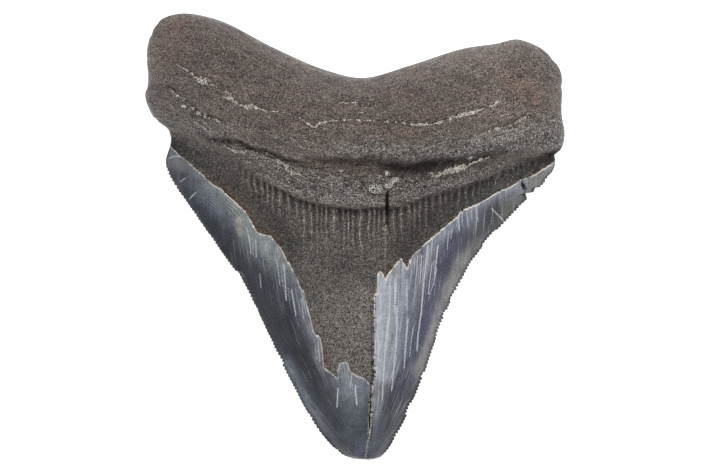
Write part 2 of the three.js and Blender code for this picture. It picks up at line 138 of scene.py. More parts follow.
# The open splits, with half widths, and the mineral threads that close their ends.
SPLITS = [
    ([(6.5, 8.8), (6.3, 7.4), (6.4, 6.2), (6.4, 5), (6.5, 3.4), (6.35, 2.6)],
      (0.1, 0.3, 0.26, 0.2, 0.12, 0.05)),
    ([(3.3, -29.4), (3.1, -31.8), (3.1, -34.4), (2.9, -36.2), (3, -37.8), (2.6, -40)],
      (0.12, 0.15, 0.13, 0.16, 0.13, 0.04)),
    ([(33.25, 11.9), (33.35, 10.9), (33.6, 10.2), (33.9, 9.8), (34.1, 9.4)],
      (0.04, 0.1, 0.16, 0.24, 0.22)),
    ([(3.72, -29.6), (3.72, -24.9), (3.78, -21.8), (3.68, -15.4), (3.68, -11.7)],
      (0.03, 0.02, 0.01, 0.03, 0)),
]
THREADS = [
    ([(6.4, 3.4), (6.1, 2), (6.1, 0.2), (6, -2.8), (6, -5.8), (6.1, -8.2)],
      (0.05, 0.12, 0.13, 0.08, 0.05, 0.06)),
    ([(6, -7.2), (6, -12.8), (6.2, -18.8), (6, -23.2), (5.9, -27)], (0.08, 0.05, 0.07, 0.06, 0.02)),
    ([(3.75, -29), (3.55, -31.8), (3.55, -34.4), (3.3, -36.2), (3.3, -37.8), (2.8, -40), (2.3, -42.4),
      (2.1, -44.6)], (0.06, 0.07, 0.07, 0.06, 0.08, 0.1, 0.08, 0.1)),
]
STREAKS = [
    ([(7.9, -8.4), (7.9, -15.4)], 0.07), ([(13.3, -3.6), (12.9, -9.4)], 0.08),
    ([(14.5, -1.6), (13.7, -9.2), (13.2, -15.4), (12.6, -19.6), (12.4, -22.8)], 0.12),
    ([(15.4, -5), (14.6, -11.4)], 0.07), ([(16.6, -1.5), (15.9, -7.8), (15.7, -9.8)], 0.1),
    ([(10.3, -8.6), (10.1, -14.6)], 0.06), ([(7, -15.2), (6.2, -20), (5.8, -26), (5.4, -32.8)], 0.09),
    ([(8.5, -14), (8.2, -21.8), (7.8, -26), (7.3, -30.8)], 0.1), ([(10.6, -16.4), (9.8, -26.4)], 0.09),
    ([(4.8, -20.8), (4.6, -24.8)], 0.06), ([(-14.2, -5.2), (-13.7, -12.8)], 0.08),
    ([(-12.7, -10.4), (-11.8, -15.8)], 0.08), ([(-21, 0), (-20.8, -3.4)], 0.06),
    ([(-19.8, -0.4), (-19.7, -4.2)], 0.06), ([(-19, -7.2), (-18.8, -10.2)], 0.04),
    ([(-7.4, -20.8), (-7, -25)], 0.07), ([(-8, -21.6), (-7.7, -24.4)], 0.05),
    ([(0.1, -29.6), (0.1, -31.2), (0.4, -33.6)], 0.12), ([(-3.4, -30.2), (-3.6, -34.2)], 0.1),
    ([(-0.7, -27.6), (-0.9, -30.2)], 0.06), ([(20.6, 4.4), (20.8, 1.2)], 0.11),
    ([(24, 6.4), (24.6, 3.2)], 0.07), ([(22.2, 5), (22.6, 2)], 0.06),
    ([(16.4, -6.2), (15.8, -8.8), (14.6, -12.8)], 0.04), ([(8.2, -9.2), (8, -13.8), (8.3, -17.8)], 0.06),
    ([(10.3, -8.3), (10.5, -12.8), (10.3, -17.4), (9.8, -24.8)], 0.03),
    ([(11.7, -4.2), (10.8, -10.4)], 0.05), ([(12.6, -3.8), (12.1, -8.8)], 0.04),
    ([(18.6, 1.2), (18.4, -2.6)], 0.05), ([(19.6, 2.4), (19.2, -0.4)], 0.04),
    ([(5.2, -9), (5, -15)], 0.03), ([(11.6, -18), (10.9, -24)], 0.05),
    ([(-15.6, -4.4), (-15, -9.6)], 0.04), ([(-10.8, -12.2), (-10.2, -16.4)], 0.05),
    ([(-21.6, 2), (-21, -1.4)], 0.05), ([(27.3, 5.7), (29.8, 3.2)], 0.09),
    ([(-37.2, 15.7), (-36.2, 16.1), (-35, 16.1)], 0.07), ([(-33.2, 7.6), (-31.8, 8.9)], 0.08),
    ([(-35, 11), (-33.8, 11.9)], 0.05),
]
# Dark hairlines: round the nutrient hole, beside the enamel's pale edge, and low on the root.
FISSURES = [
    ([(1.2, 11.3), (1.9, 10), (2.9, 8.8), (4.2, 8.35), (5.8, 8.45), (7, 9.3), (7.9, 10.6)], 0.1),
    ([(2.9, -12), (3.3, -17), (3.3, -23), (3.2, -29)], 0.06),
    ([(-11, 14.2), (-8.4, 13.6), (-5, 13.8)], 0.1), ([(8.2, 9.9), (12.6, 9.7), (17, 10.4)], 0.07),
    ([(-41.4, 27.4), (-39, 25.8), (-36.6, 25)], 0.08), ([(22, 12), (26.4, 13.6), (31, 15)], 0.05),
]
# Pale crumbs in the nutrient hole, in the groove and along the cracks: middle and two radii.
CRUMBS = [(3.9, 9.6, 1.7, 1.05), (6.9, 10.4, 1.1, 0.9), (8.2, 11.2, 1.1, 0.6), (4.9, 12.0, 0.6, 0.45),
          (-2.6, 13.2, 0.7, 0.45), (6.3, 12.6, 0.5, 0.4), (-30.3, 30.9, 1.5, 0.8), (-25.2, 27.4, 0.9, 0.5),
          (-20.4, 26.2, 1.0, 0.45), (26.8, 33.2, 0.9, 0.4), (-5.6, 31.4, 0.7, 0.25), (-34.0, 25.8, 0.6, 0.4),
          (-6.2, -20.0, 0.4, 0.3), (15.2, 12.6, 0.8, 0.5), (23.0, 15.6, 1.2, 0.35)]


# Curves and noise

CURVE_STEPS = 160  # points of each stretch of a curve
LATTICE = 97  # corners of the noise's lattice before it repeats


def ease(low, high, x):
    """0 below low, 1 above high, and 3t^2 - 2t^3 of the share t between them."""
    t = np.clip((x - low) / (high - low), 0, 1)
    return t * t * (3 - 2 * t)


def bell(x):
    """e to the power of minus x squared."""
    return np.exp(-x * x)


def through(knots, x):
    """Cubic stretches through the knots, each knot's slope being that between its two neighbours."""
    at, value = np.array(knots, float).T
    slope = np.zeros(len(at))
    slope[1:-1] = (value[2:] - value[:-2]) / (at[2:] - at[:-2])
    x = np.clip(x, at[0], at[-1])
    i = np.clip(np.searchsorted(at, x, side="right") - 1, 0, len(at) - 2)
    width = at[i + 1] - at[i]
    f = (x - at[i]) / width
    return ((2 * f**3 - 3 * f**2 + 1) * value[i] + (f**3 - 2 * f**2 + f) * width * slope[i]
            + (3 * f**2 - 2 * f**3) * value[i + 1] + (f**3 - f**2) * width * slope[i + 1])


def line_height(line, x):
    """The line's y at x, straight between its points."""
    line = np.array(line, float)
    return np.interp(x, line[:, 0], line[:, 1])


def plan_curve(points):
    """A centripetal Catmull-Rom curve, as fine points and each one's share of the whole length.

    A stretch is the cubic whose end slopes weigh its neighbours by the square roots of their lengths."""
    p = np.array(points, float)
    p = np.vstack([2 * p[0] - p[1], p, 2 * p[-1] - p[-2]])
    gap = np.sqrt(np.linalg.norm(np.diff(p, axis=0), axis=1))[:, None]
    a, b, c = gap[:-2], gap[1:-1], gap[2:]
    p0, p1, p2, p3 = p[:-3], p[1:-2], p[2:-1], p[3:]
    start = ((p1 - p0) / a - (p2 - p0) / (a + b) + (p2 - p1) / b) * b
    end = ((p2 - p1) / b - (p3 - p1) / (b + c) + (p3 - p2) / c) * b
    f = np.linspace(0, 1, CURVE_STEPS, endpoint=False)[:, None, None]
    q = (p1 + start * f + (3 * (p2 - p1) - 2 * start - end) * f**2
         + (2 * (p1 - p2) + start + end) * f**3)
    q = np.vstack([q.transpose(1, 0, 2).reshape(-1, 2), p[-2]])
    run = np.concatenate([[0], np.cumsum(np.linalg.norm(np.diff(q, axis=0), axis=1))])
    return q, run / run[-1]


def along(curve, share):
    """The curve's point at a share of its length."""
    q, run = curve
    return np.stack([np.interp(share, run, q[:, 0]), np.interp(share, run, q[:, 1])], -1)


def noise(x, y, cell, seed):
    """Random heights from -1 to 1 on a lattice of cells, eased between the corners of each cell."""
    table = np.random.default_rng(seed).uniform(-1, 1, (LATTICE, LATTICE))
    fx, fy = x / cell, y / cell
    ix, iy = np.floor(fx).astype(int), np.floor(fy).astype(int)
    tx, ty = ease(0, 1, fx - ix), ease(0, 1, fy - iy)
    at = lambda i, j: table[(ix + i) % LATTICE, (iy + j) % LATTICE]
    return (at(0, 0) * (1 - tx) + at(1, 0) * tx) * (1 - ty) + (at(0, 1) * (1 - tx) + at(1, 1) * tx) * ty


def rough(x, y, cell, seed, octaves=3):
    """Layers of noise, each with half the cell and half the height of the one before."""
    return sum(noise(x, y, cell / 2**k, seed + k) / 2**k for k in range(octaves))


def reach(x, y, line, halves=0.0):
    """Distance to the nearest stretch of a line, less the line's half width there.

    A point's foot on a stretch is at the share t of it, clipped from 0 to 1."""
    line = np.array(line, float)
    halves = np.broadcast_to(np.array(halves, float), (len(line),))
    best = np.full(x.shape, 1e9)
    for i in range(len(line) - 1):
        (ax, ay), (dx, dy) = line[i], line[i + 1] - line[i]
        t = np.clip(((x - ax) * dx + (y - ay) * dy) / (dx * dx + dy * dy), 0, 1)
        away = np.hypot(x - ax - t * dx, y - ay - t * dy) - (halves[i] + t * (halves[i + 1] - halves[i]))
        best = np.minimum(best, away)
    return best


def nearest(x, y, lines):
    """The least reach over several lines with half widths."""
    return np.min([reach(x, y, line, halves) for line, halves in lines], axis=0)


def beside(x, y, lines):
    """For the nearest of several lines: the distance across it, below 0 on its right, and its half width
    there. The half width shrinks by the way gone past an end, and by what is more than a millimetre off."""
    best, side, half = (np.full(x.shape, start) for start in (1e9, 9.0, -9.0))
    for line, halves in lines:
        line = np.array(line, float)
        last = len(line) - 2
        halves = np.broadcast_to(np.array(halves, float), (len(line),))
        for i in range(last + 1):
            (ax, ay), (dx, dy) = line[i], line[i + 1] - line[i]
            long = np.hypot(dx, dy)
            run = ((x - ax) * dx + (y - ay) * dy) / long
            across = ((y - ay) * dx - (x - ax) * dy) / long
            past = np.maximum(0, -run) * (i == 0) + np.maximum(0, run - long) * (i == last)
            t = np.clip(run / long, 0, 1)
            away = np.hypot(x - ax - t * dx, y - ay - t * dy)
            nearer = away < best
            best = np.where(nearer, away, best)
            side = np.where(nearer, np.where(past > 0, across, np.copysign(away, across)), side)
            width = halves[i] + t * (halves[i + 1] - halves[i]) - past - np.maximum(0, away - 1)
            half = np.where(nearer, width, half)
    return side, half


def inside(x, y, outline):
    """Whether each point is in the outline: a ray to +X crosses its sides an odd number of times."""
    odd = np.zeros(x.shape, bool)
    for (ax, ay), (bx, by) in zip(outline, outline[1:] + outline[:1]):
        spans = (ay > y) != (by > y)
        crossing = ax + (y - ay) * (bx - ax) / ((by - ay) or 1e-9)
        odd ^= spans & (x < crossing)
    return odd


# The tooth's skin

LEFT = [plan_curve(LEFT_BLADE), plan_curve(LEFT_ROOT)]
RIGHT = [plan_curve(RIGHT_BLADE), plan_curve(RIGHT_ROOT)]
TOP = plan_curve(ROOT_TOP)


def side_line(side, station):
    """The blade's curve up to station 1, and the root's beyond it."""
    return np.where((station <= 1)[..., None], along(side[0], station), along(side[1], station - 1))


def heading(side, station):
    """The side's direction there, towards the root and one unit long."""
    ahead = side_line(side, station + 0.004) - side_line(side, station - 0.004)
    return ahead / (np.linalg.norm(ahead, axis=-1, keepdims=True) + 1e-12)


def nibble(side, station):
    """How far the edge is worn in: serrations, slow wear, and the breaks seen on each side."""
    p = side_line(side, station)
    x, y = p[..., 0], p[..., 1]
    left = side is LEFT
    seed = 31 if left else 47
    height, chips, outset = (0.26, 0.10, 0.12) if left else (0.42, 0.30, 0.22)
    run = station * CUTTING_EDGE
    beat = run / SERRATION_PITCH + 0.5 * noise(run, 0 * run, 5.0, seed)
    valley = np.abs(2 * (beat % 1) - 1) ** 1.8
    blade = ease(0.02, 0.07, station) * (1 - ease(0.93, 0.96, station))
    strength = height * (0.85 + 0.6 * noise(run, 0 * run, 2.1, seed + 1))
    worn = np.maximum(0, 0.12 * rough(run, 0 * run, 4.0, seed + 2))
    worn += chips * ease(0.45, 0.6, noise(run, 0 * run, 1.7, seed + 4))
    depth = blade * (strength * valley + worn - outset)
    if left:
        depth += 0.35 * ease(-11.5, -7.0, y) * (y < -7.0) + 0.30 * ease(-22.0, -25.2, y) * (y > -25.4)
    else:
        chip = (x - CHIP_START[0]) * CHIP_WAY[0] + (y - CHIP_START[1]) * CHIP_WAY[1]
        in_chip = (station < 1) & (chip > SHOULDER_CHIP[0][0]) & (chip < SHOULDER_CHIP[-1][0])
        depth = np.where(in_chip, line_height(SHOULDER_CHIP, chip), depth)
    return depth + (station > 1) * np.maximum(0, 0.2 * rough(x + y, y - x, 3.0, seed + 3))


def lean(side, station):
    """How many millimetres away from a side's line one unit of share across leads, at that side."""
    chord = side_line(RIGHT, station) - side_line(LEFT, station)
    width = np.linalg.norm(chord, axis=-1)
    tangent = heading(side, station)
    square = np.abs(chord[..., 0] * tangent[..., 1] - chord[..., 1] * tangent[..., 0])
    return square + (width - square) * ease(0.93, 1.0, station)


def from_edge(across, station):
    """Distance from the nearer side in millimetres."""
    return np.minimum(across * lean(LEFT, station), (1 - across) * lean(RIGHT, station))


def plan(across, station):
    """Place in plan: the chord between the two sides, less the gum line's sag; on the root the rows
    turn into the curve of its top. Near a side the place is pushed in where that side is worn."""
    left, right = side_line(LEFT, station), side_line(RIGHT, station)
    chord = left + (right - left) * across[..., None]
    sag = GUM_SAG * (4 * across * (1 - across)) ** SAG_BEND
    rise = np.clip(station - 1, 0, 1)
    start, end = along(TOP, 0 * across), along(TOP, 0 * across + 1)
    straight = start + (end - start) * across[..., None]
    place = chord + (along(TOP, across) - straight) * rise[..., None]
    place[..., 1] -= sag * np.where(station <= 1, np.clip(station, 0, 1) ** SAG_GROWTH, 1 - rise)
    width = np.linalg.norm(right - left, axis=-1)
    for side, share, sign in ((LEFT, across, 1), (RIGHT, 1 - across, -1)):
        depth = nibble(side, station)
        tangent = heading(side, station)
        inward = np.stack([tangent[..., 1], -tangent[..., 0]], -1) * sign
        push = np.minimum(depth, 0.3 * width) * bell(share * lean(side, station) / (0.35 + depth))
        place += inward * push[..., None]
    return place


def fullness(across, station, upper):
    """How far the skin has left its edge: a flared lens on the blade, a block with rounded sides on the
    root, and a quarter ellipse over the root's top. The lower face is flat over most of its width."""
    side = np.abs(2 * across - 1)
    if upper:
        blade = (1 - side**2) ** BLADE_FLARE
        root = np.maximum(0, 1 - side**3) ** ROOT_ROUNDING
        over = np.maximum(0, station - UPPER_TURN) / (2 - UPPER_TURN)
        full = blade + (root - blade) * ease(0.9, 1.2, station)
    else:
        over = np.maximum(0, station - LOWER_TURN) / (2 - LOWER_TURN)
        full = np.maximum(0, 1 - side**4) ** BASE_ROUNDING
    return full * np.sqrt(np.maximum(0, 1 - over**2))


def groove_cut(x, y):
    """Depth of the groove under the root's bulge: a bell across it, steeper above than below."""
    away = y - through(GROOVE_PLACE, x)
    return through(GROOVE_DEPTH, x) * bell(away / np.where(away > 0, GROOVE_ABOVE, GROOVE_BELOW))


def smooth_skin(across, station, upper):
    """The skin with no marks on it: the edge's height, and towards the ridge or the base from there."""
    place = plan(across, station)
    edge = through(EDGE_HEIGHT, station)
    full = fullness(across, station, upper)
    if upper:
        z = edge + (through(RIDGE_HEIGHT, station) - edge) * full
        z -= groove_cut(place[..., 0], place[..., 1]) * ease(0, 0.5, full)
    else:
        z = np.maximum(0, edge + (through(BASE_LIFT, station) - FLAT_CUT - edge) * full)
    return np.concatenate([place, z[..., None]], -1)


def bare_distance(x, y):
    """How far inside the bare zone or the root a place of the upper face is; below 0 it is on enamel."""
    away = reach(x, y, ENAMEL_EDGE)
    return np.where(inside(x, y, ENAMEL_EDGE + BEYOND_ROOT), away, -away)


RIDGE_PITCH = 1.3
RIDGE_LENGTH = 9.0


def strand(x, y):
    """The growth strand of a place: how far it is from the line through the tip, over the spread there."""
    return (x - 2.4) / through(STRAND_SPREAD, y)


def rim_ridges(x, y):
    """Fine upright ridges below the root's lip. The beat counts them, a ridge is where it is a whole
    number, and the window says where they are and how long."""
    beat = strand(x, y) / RIDGE_PITCH + 0.45 * noise(x, 0 * x, 2.7, 5) + 0.22 * noise(x, y, 2.2, 6)
    below = line_height(LIP, x) - y
    length = RIDGE_LENGTH + 4.0 * noise(np.round(beat), 0 * x, 1.0, 7) - 0.008 * (x - 2) ** 2
    window = ease(-0.05, 0.3, below) * (1 - ease(0.25, 1.0, below / np.maximum(length, 1.5)))
    return beat, window * ease(-26, -20, x) * (1 - ease(32, 38, x))


def crumb_distance(x, y):
    """Distance from the nearest crumb's oval, roughly in millimetres, with a ragged rim."""
    ovals = [(np.hypot((x - cx) / rx, (y - cy) / ry) - 1) * min(rx, ry) for cx, cy, rx, ry in CRUMBS]
    return np.min(ovals, axis=0) + 0.28 * rough(x, y, 0.9, 23)


# Heights and depths of the relief in millimetres
RIM_RIDGE = 0.11
LUMP, LAYER, GRIT = 0.42, 0.24, 0.12
OVERHANG_CUT, OVERHANG_SWELL = 1.0, 0.45
CREVICE_CUT, CREVICE_SWELL = 0.65, 0.35
CRACK_CUT, CRACK_DIP, CRACK_SWELL = 0.34, 0.18, 0.12
WALL_LUMP = 0.40
HOLE_CUT = 0.7
DENTINE_LUMP, DENTINE_GRIT = 0.12, 0.05
FLUTE = 0.03
SPLIT_CUT = 1.3


def root_relief(x, y, across, station):
    """The root's relief: lumps, layers and grit, the overhang's edge, the crevice, and the groove's wall."""
    out = LUMP * rough(x, y * 1.7, 11.0, 12) + GRIT * rough(x, y, 1.2, 14)
    out += LAYER * rough(across * 12, station * 24, 1.0, 13)
    # the overhang is sharp where the groove is deep
    deep = through(GROOVE_DEPTH, x) / GROOVE_DEEPEST
    off = y - line_height(OVERHANG, x) + 0.3 * noise(x, y, 2.2, 15)
    out -= deep * (OVERHANG_CUT * bell((off + 0.25) / 0.75) - OVERHANG_SWELL * bell((off - 1.7) / 1.3))
    crevice = ease(-30.5, -28, x) * (1 - ease(-13, -8, x))
    out -= crevice * (CREVICE_CUT * bell((off + 0.45) / 0.5) - CREVICE_SWELL * bell((off - 0.7) / 0.9))
    return out + WALL_LUMP * ease(0.1, 0.4, deep) * rough(x, y, 2.4, 16) * bell((off + 2.4) / 2.6)


def crack_relief(x, y):
    """The cracks' relief, all below 0 but for low swellings and the crumbs."""
    out = np.zeros(x.shape)
    # growth cracks: a sharp cut in a shallow dip
    for line, _ in GROWTH_CRACKS:
        away = reach(x, y, line)
        out -= CRACK_CUT * bell(away / 0.40) + CRACK_DIP * bell(away / 1.4)
        out += CRACK_SWELL * bell((away - 1.6) / 0.8)
    # the nutrient hole, the crumbs, and the splits that stand open
    out -= HOLE_CUT * bell(np.hypot((x - 4.6) / 2.4, (y - 10.0) / 1.4))
    out += (0.25 + 0.25 * rough(x, y, 1.1, 17)) * (1 - ease(-0.2, 0.3, crumb_distance(x, y)))
    return out - SPLIT_CUT * (1 - ease(-0.12, 0.10, nearest(x, y, SPLITS[:3])))


def relief(x, y, across, station, bare):
    """How far the upper skin stands off its smooth form: the root's relief above the lip, the enamel's
    step, the ridges and the dentine's grain below it, and the cracks and flutes over all."""
    on_root = ease(-0.25, 0.35, y - line_height(LIP, x)) * ease(-0.2, 0.3, bare)
    jag = 0.10 * rough(x, y, 0.9, 11) + 0.15 * noise(strand(x, y), y * 0.05, 0.7, 21)
    beat, window = rim_ridges(x, y)
    blade = RIM_RIDGE * window * np.cos(2 * np.pi * beat) - ENAMEL_THICKNESS * ease(-0.16, 0.16, bare + jag)
    dentine = DENTINE_LUMP * rough(x, y * 0.5, 2.4, 18) + DENTINE_GRIT * rough(x, y, 0.8, 19)
    blade += ease(0, 0.4, bare) * dentine
    flutes = FLUTE * ease(0, 0.3, -bare) * noise(strand(x, y), y * 0.08, 0.9, 20)
    root = root_relief(x, y, across, station)
    return on_root * root + (1 - on_root) * blade + flutes + crack_relief(x, y)


LABIAL_SIDE = 16.0  # where the lower face's enamel ends at the sides, and how much nearer the tip inside
LABIAL_DIP = 8.0
LABIAL_REACH = 39.0


def marked_skin(across, station, upper):
    """The smooth skin moved along its own normal by the relief, which fades out at the edges."""
    across, station = np.broadcast_arrays(across, station)
    step = 1e-3
    p = smooth_skin(across, station, upper)
    to_side = (smooth_skin(np.minimum(across + step, 1), station, upper)
               - smooth_skin(np.maximum(across - step, 0), station, upper))
    to_root = (smooth_skin(across, np.minimum(station + step, 2), upper)
               - smooth_skin(across, np.maximum(station - step, 0), upper))
    normal = np.cross(to_side, to_root)
    normal /= np.linalg.norm(normal, axis=-1, keepdims=True) + 1e-12
    x, y = p[..., 0], p[..., 1]
    inset = from_edge(across, station)
    fade = ease(0.05, 0.9, inset) * (1 - ease(1.97, 2.0, station)) * ease(0.0, 0.02, station)
    if upper:
        bare = bare_distance(x, y)
        lift = relief(x, y, across, station, bare)
    else:
        bare = labial_bare(x, y)
        lift = -(0.25 * rough(x, y, 9.0, 61) + 0.08 * rough(x, y, 1.2, 62)) * ease(0, 1.0, bare)
        lift += 0.22 * (1 - ease(-0.2, 0.2, bare)) - 0.3 * bell(reach(x, y, [(-24, 20), (24, 20)]) / 4)
        normal = -normal
    p = p + normal * (lift * fade)[..., None]
    p[..., 2] = np.maximum(p[..., 2], 0)
    return p


def labial_bare(x, y):
    """The same distance on the lower face, where the enamel ends in one shallow bow."""
    bow = LABIAL_SIDE - LABIAL_DIP * (1 - (x / LABIAL_REACH) ** 2)
    return y - bow + 0.25 * noise(x, y, 2.0, 63)


# The mesh

FINE = 4  # steps of the cutting edge to one row of the skin
BLADE_ROWS = 150
ROOT_ROWS = 60
TURN_ROWS = 26
COLUMNS = 252
BASE_SHARE = 3  # columns of the upper face to one of the lower
INSETS = (0.12, 0.35, 0.75)  # distances of the fine strips from the edge
INNER = 1.2  # distance of the net's first column from the edge
SLACK = 4  # added to a side's lean, so that the strips draw together near the tip


def rows_of(count):
    """Stations from the first row above the tip to the root's top, which the last rows turn over."""
    blade = np.arange(1, count + 1) / count
    root = 1 + (UPPER_TURN - 1) * np.arange(1, ROOT_ROWS + 1) / ROOT_ROWS
    turn = UPPER_TURN + (2 - UPPER_TURN) * np.sin(np.arange(1, TURN_ROWS + 1) / TURN_ROWS * np.pi / 2)
    return np.concatenate([blade, root, turn])


def quads(a, b):
    """Two triangles for each step of two columns of equal length."""
    return np.concatenate([np.stack([a[:-1], a[1:], b[:-1]], 1), np.stack([a[1:], b[1:], b[:-1]], 1)])


def fan(fine, coarse, k):
    """Joins k steps of a fine column to one of a coarse one: the first half of the fine steps meets the
    coarse step's start, the rest meets its end, and one triangle closes the middle."""
    start, end = coarse[:-1], coarse[1:]
    half = k // 2
    faces = [np.stack([fine[m:-1:k][:len(start)], fine[m + 1::k][:len(start)], start if m < half else end], 1)
             for m in range(k)]
    faces.append(np.stack([fine[half::k][:len(start)], end, start], 1))
    return np.concatenate(faces)


def build_skin():
    """The whole tooth: fine strips along both cutting edges, a coarser net between them, and one pole."""
    coarse, fine = rows_of(BLADE_ROWS), rows_of(BLADE_ROWS * FINE)
    share_at = lambda inset, side, station: inset / (lean(side, station) + SLACK)
    points, places = [], []

    def add(across, station, upper):
        """Puts a block of points in the mesh and gives back their numbers."""
        across, station = np.broadcast_arrays(np.asarray(across, float), np.asarray(station, float))
        first = sum(len(p) for p in points)
        points.append(marked_skin(across, station, upper).reshape(-1, 3))
        places.append(np.stack([across.ravel(), station.ravel(), np.full(across.size, float(upper))], 1))
        return first + np.arange(across.size).reshape(across.shape)

    pole = add([0.5], [0.0], True)
    with_pole = lambda column: np.concatenate([pole, column])
    faces = []
    first, last = (share_at(INNER, side, coarse)[:, None] for side in (LEFT, RIGHT))
    grid_share = lambda count: first + (1 - first - last) * np.linspace(0, 1, count)
    upper = add(grid_share(COLUMNS + 1), coarse[:, None], True)
    base_columns = COLUMNS // BASE_SHARE + 1
    lower = add(grid_share(base_columns)[:-1], coarse[:-1, None], False)
    blade_fine = BLADE_ROWS * FINE

    def to_coarse(strip, column, last):
        """The blade's part of a fine strip fans into a coarse column, and the root's part matches it."""
        out = [fan(strip[:blade_fine + 1], column[:BLADE_ROWS + 1], FINE)]
        out.append(quads(strip[blade_fine:blade_fine + last], column[BLADE_ROWS:BLADE_ROWS + last]))
        return out

    for mirrored in (False, True):
        shares = [share_at(inset, RIGHT if mirrored else LEFT, fine) for inset in (0.0, *INSETS)]
        strips = [add(1 - share if mirrored else share, fine, True) for share in shares]
        columns = [with_pole(s) for s in strips]
        for a, b in zip(columns, columns[1:]):
            faces.append(quads(a, b))
        body = upper[:, -1] if mirrored else upper[:, 0]
        faces += to_coarse(columns[-1], with_pole(body), ROOT_ROWS + TURN_ROWS + 1)
        below = lower[:, -1] if mirrored else lower[:, 0]
        faces += to_coarse(columns[0][:-1], with_pole(below), ROOT_ROWS + TURN_ROWS)
        crest = np.array([s[-1] for s in strips] + [body[-1]])
        faces.append(fan(crest, np.array([strips[0][-2], below[-1]]), len(INSETS) + 1))
    for net in (upper, lower):
        full = np.vstack([np.full(net.shape[1], pole[0]), net])
        for j in range(net.shape[1] - 1):
            faces.append(quads(full[:, j], full[:, j + 1]))
    faces.append(fan(upper[-1], lower[-1], BASE_SHARE))
    tris = np.concatenate(faces)
    a, b, c = tris.T
    return np.concatenate(points), np.concatenate(places), tris[(a != b) & (b != c) & (a != c)]


def make_mesh(name, points, tris):
    """A smooth-shaded triangle mesh in metres, its faces turned outwards."""
    mesh = bpy.data.meshes.new(name)
    mesh.vertices.add(len(points))
    mesh.vertices.foreach_set("co", (points / 1000).astype(np.float32).ravel())
    mesh.loops.add(tris.size)
    mesh.loops.foreach_set("vertex_index", tris.astype(np.int32).ravel())
    mesh.polygons.add(len(tris))
    mesh.polygons.foreach_set("loop_start", np.arange(0, tris.size, 3, dtype=np.int32))
    mesh.polygons.foreach_set("use_smooth", np.ones(len(tris), bool))
    mesh.update(calc_edges=True)
    shell = bmesh.new()
    shell.from_mesh(mesh)
    bmesh.ops.recalc_face_normals(shell, faces=shell.faces)
    shell.to_mesh(mesh)
    shell.free()
    return mesh


# Colours over the skin

SLATE = (64, 68, 78)
PALE_SLATE = (114, 116, 123)
BONE_BROWN = (107, 96, 90)
DENTINE_BROWN = (96, 90, 86)
HOLE_SHADE = (52, 46, 42)
ENAMEL_GAIN = 0.86
BONE_GAIN = 0.915
# Lines of the bone's washes: the groove's right end, washed with painted shade, the dark bands and the brown
# tints beside the enamel.
GROOVE_END = [(14, 15.0), (20, 16.0), (29, 17.6), (39, 19.4)]
LEFT_SHADE = [(-36, 18.6), (-30, 14.6), (-24.6, 11.0), (-20.4, 7.4), (-16.4, 3.2), (-12.6, -1.8)]
RIGHT_SHADE = [(38, 16), (31, 12.8), (25, 10.2), (18.6, 6.6), (13, 2.0), (9.6, -2.2)]
LEFT_TINT = [(-9.4, -20), (-6.0, -22), (-5.6, -26)]
RIGHT_TINT = [(4.2, -10), (5.0, -7.2), (8.0, -5.8), (10.2, -6.0)]
# Each wash: its strength, its line and half width, or its middle, radii and lean, then its screen colour.
LEFT_BANDS = [
    # near black along the left edge: the enamel's dark colour with a painted dark reflection
    (0.9, [(-37, 13), (-31.6, 5.6), (-24.6, -3.4), (-18.8, -12), (-13, -21), (-7.4, -29.6), (-3, -36)],
      2.8, (30, 34, 42)),
    (0.55, [(-23.6, 5.2), (-19.4, -1), (-16.4, -4)], 2, (120, 125, 124)),
    (0.6, [(-17.4, -9), (-14, -15), (-11.6, -20.6)], 1.8, (42, 46, 60)),
    # pale bluish strip low on the left edge: painted reflection of a soft light
    (0.55, [(-13.6, -25.4), (-11.2, -30.8), (-8.8, -34.4), (-6, -37.8)], 1.1, (108, 114, 122)),
]
LEFT_SPOTS = [
    (0.5, -35.8, 15, 2.2, 1.8, 0, (92, 95, 100)), (0.45, -31.2, 9.6, 3, 1.4, -0.9, (74, 80, 90)),
    (0.5, -26.6, 4.8, 3.2, 1.4, -0.8, (70, 78, 92)), (0.8, -0.8, -29.5, 3.2, 4.2, 0, (126, 132, 139)),
    (0.6, -1, -35.5, 3, 4, 0, (92, 96, 104)), (0.75, -4.5, -34, 1.6, 5, 0.35, (52, 56, 64)),
    (0.5, -2.4, -41.6, 4, 2, 0, (58, 62, 68)),
]
RIGHT_BANDS = [
    (0.9, [(6, -9.4), (6, -18.8), (5.8, -27)], 2.2, (168, 173, 182)),
    (0.7, [(9.4, -6), (9, -16.8), (7.8, -26)], 1.8, (150, 154, 164)),
    (0.55, [(11.6, -5), (10.8, -14), (9.4, -24)], 0.8, (96, 100, 120)),
    (0.8, [(24.6, 3.2), (19, -2.8), (15.8, -9.8), (13.2, -17.8), (11.2, -24.8), (9.2, -31)], 2.2,
      (56, 58, 80)),
    # smooth grey band along the right edge: painted highlight, a soft light's reflection
    (0.65, [(24.6, -1.2), (21.2, -5.6), (18.8, -11.2), (16.8, -17.4), (14.8, -22.8), (12.8, -27)], 1.5,
      (134, 132, 129)),
    (0.7, [(7.2, -32.8), (5.6, -37.8), (3.9, -42)], 1.3, (62, 65, 82)),
]
RIGHT_SPOTS = [
    (0.85, 26, 3.2, 5.5, 2.2, 0.75, (58, 60, 68)), (0.45, 31, 5.4, 3, 1.2, 0.75, (112, 111, 96)),
    (0.8, 37.6, 12, 3.6, 2.2, 0.7, (118, 118, 116)), (0.7, 9.4, -32.5, 3, 5, -0.3, (72, 75, 86)),
    (0.5, 2, -43.2, 3, 1.8, 0, (92, 95, 102)), (0.5, 22.6, 3, 3.4, 2, 0.8, (112, 116, 128)),
]
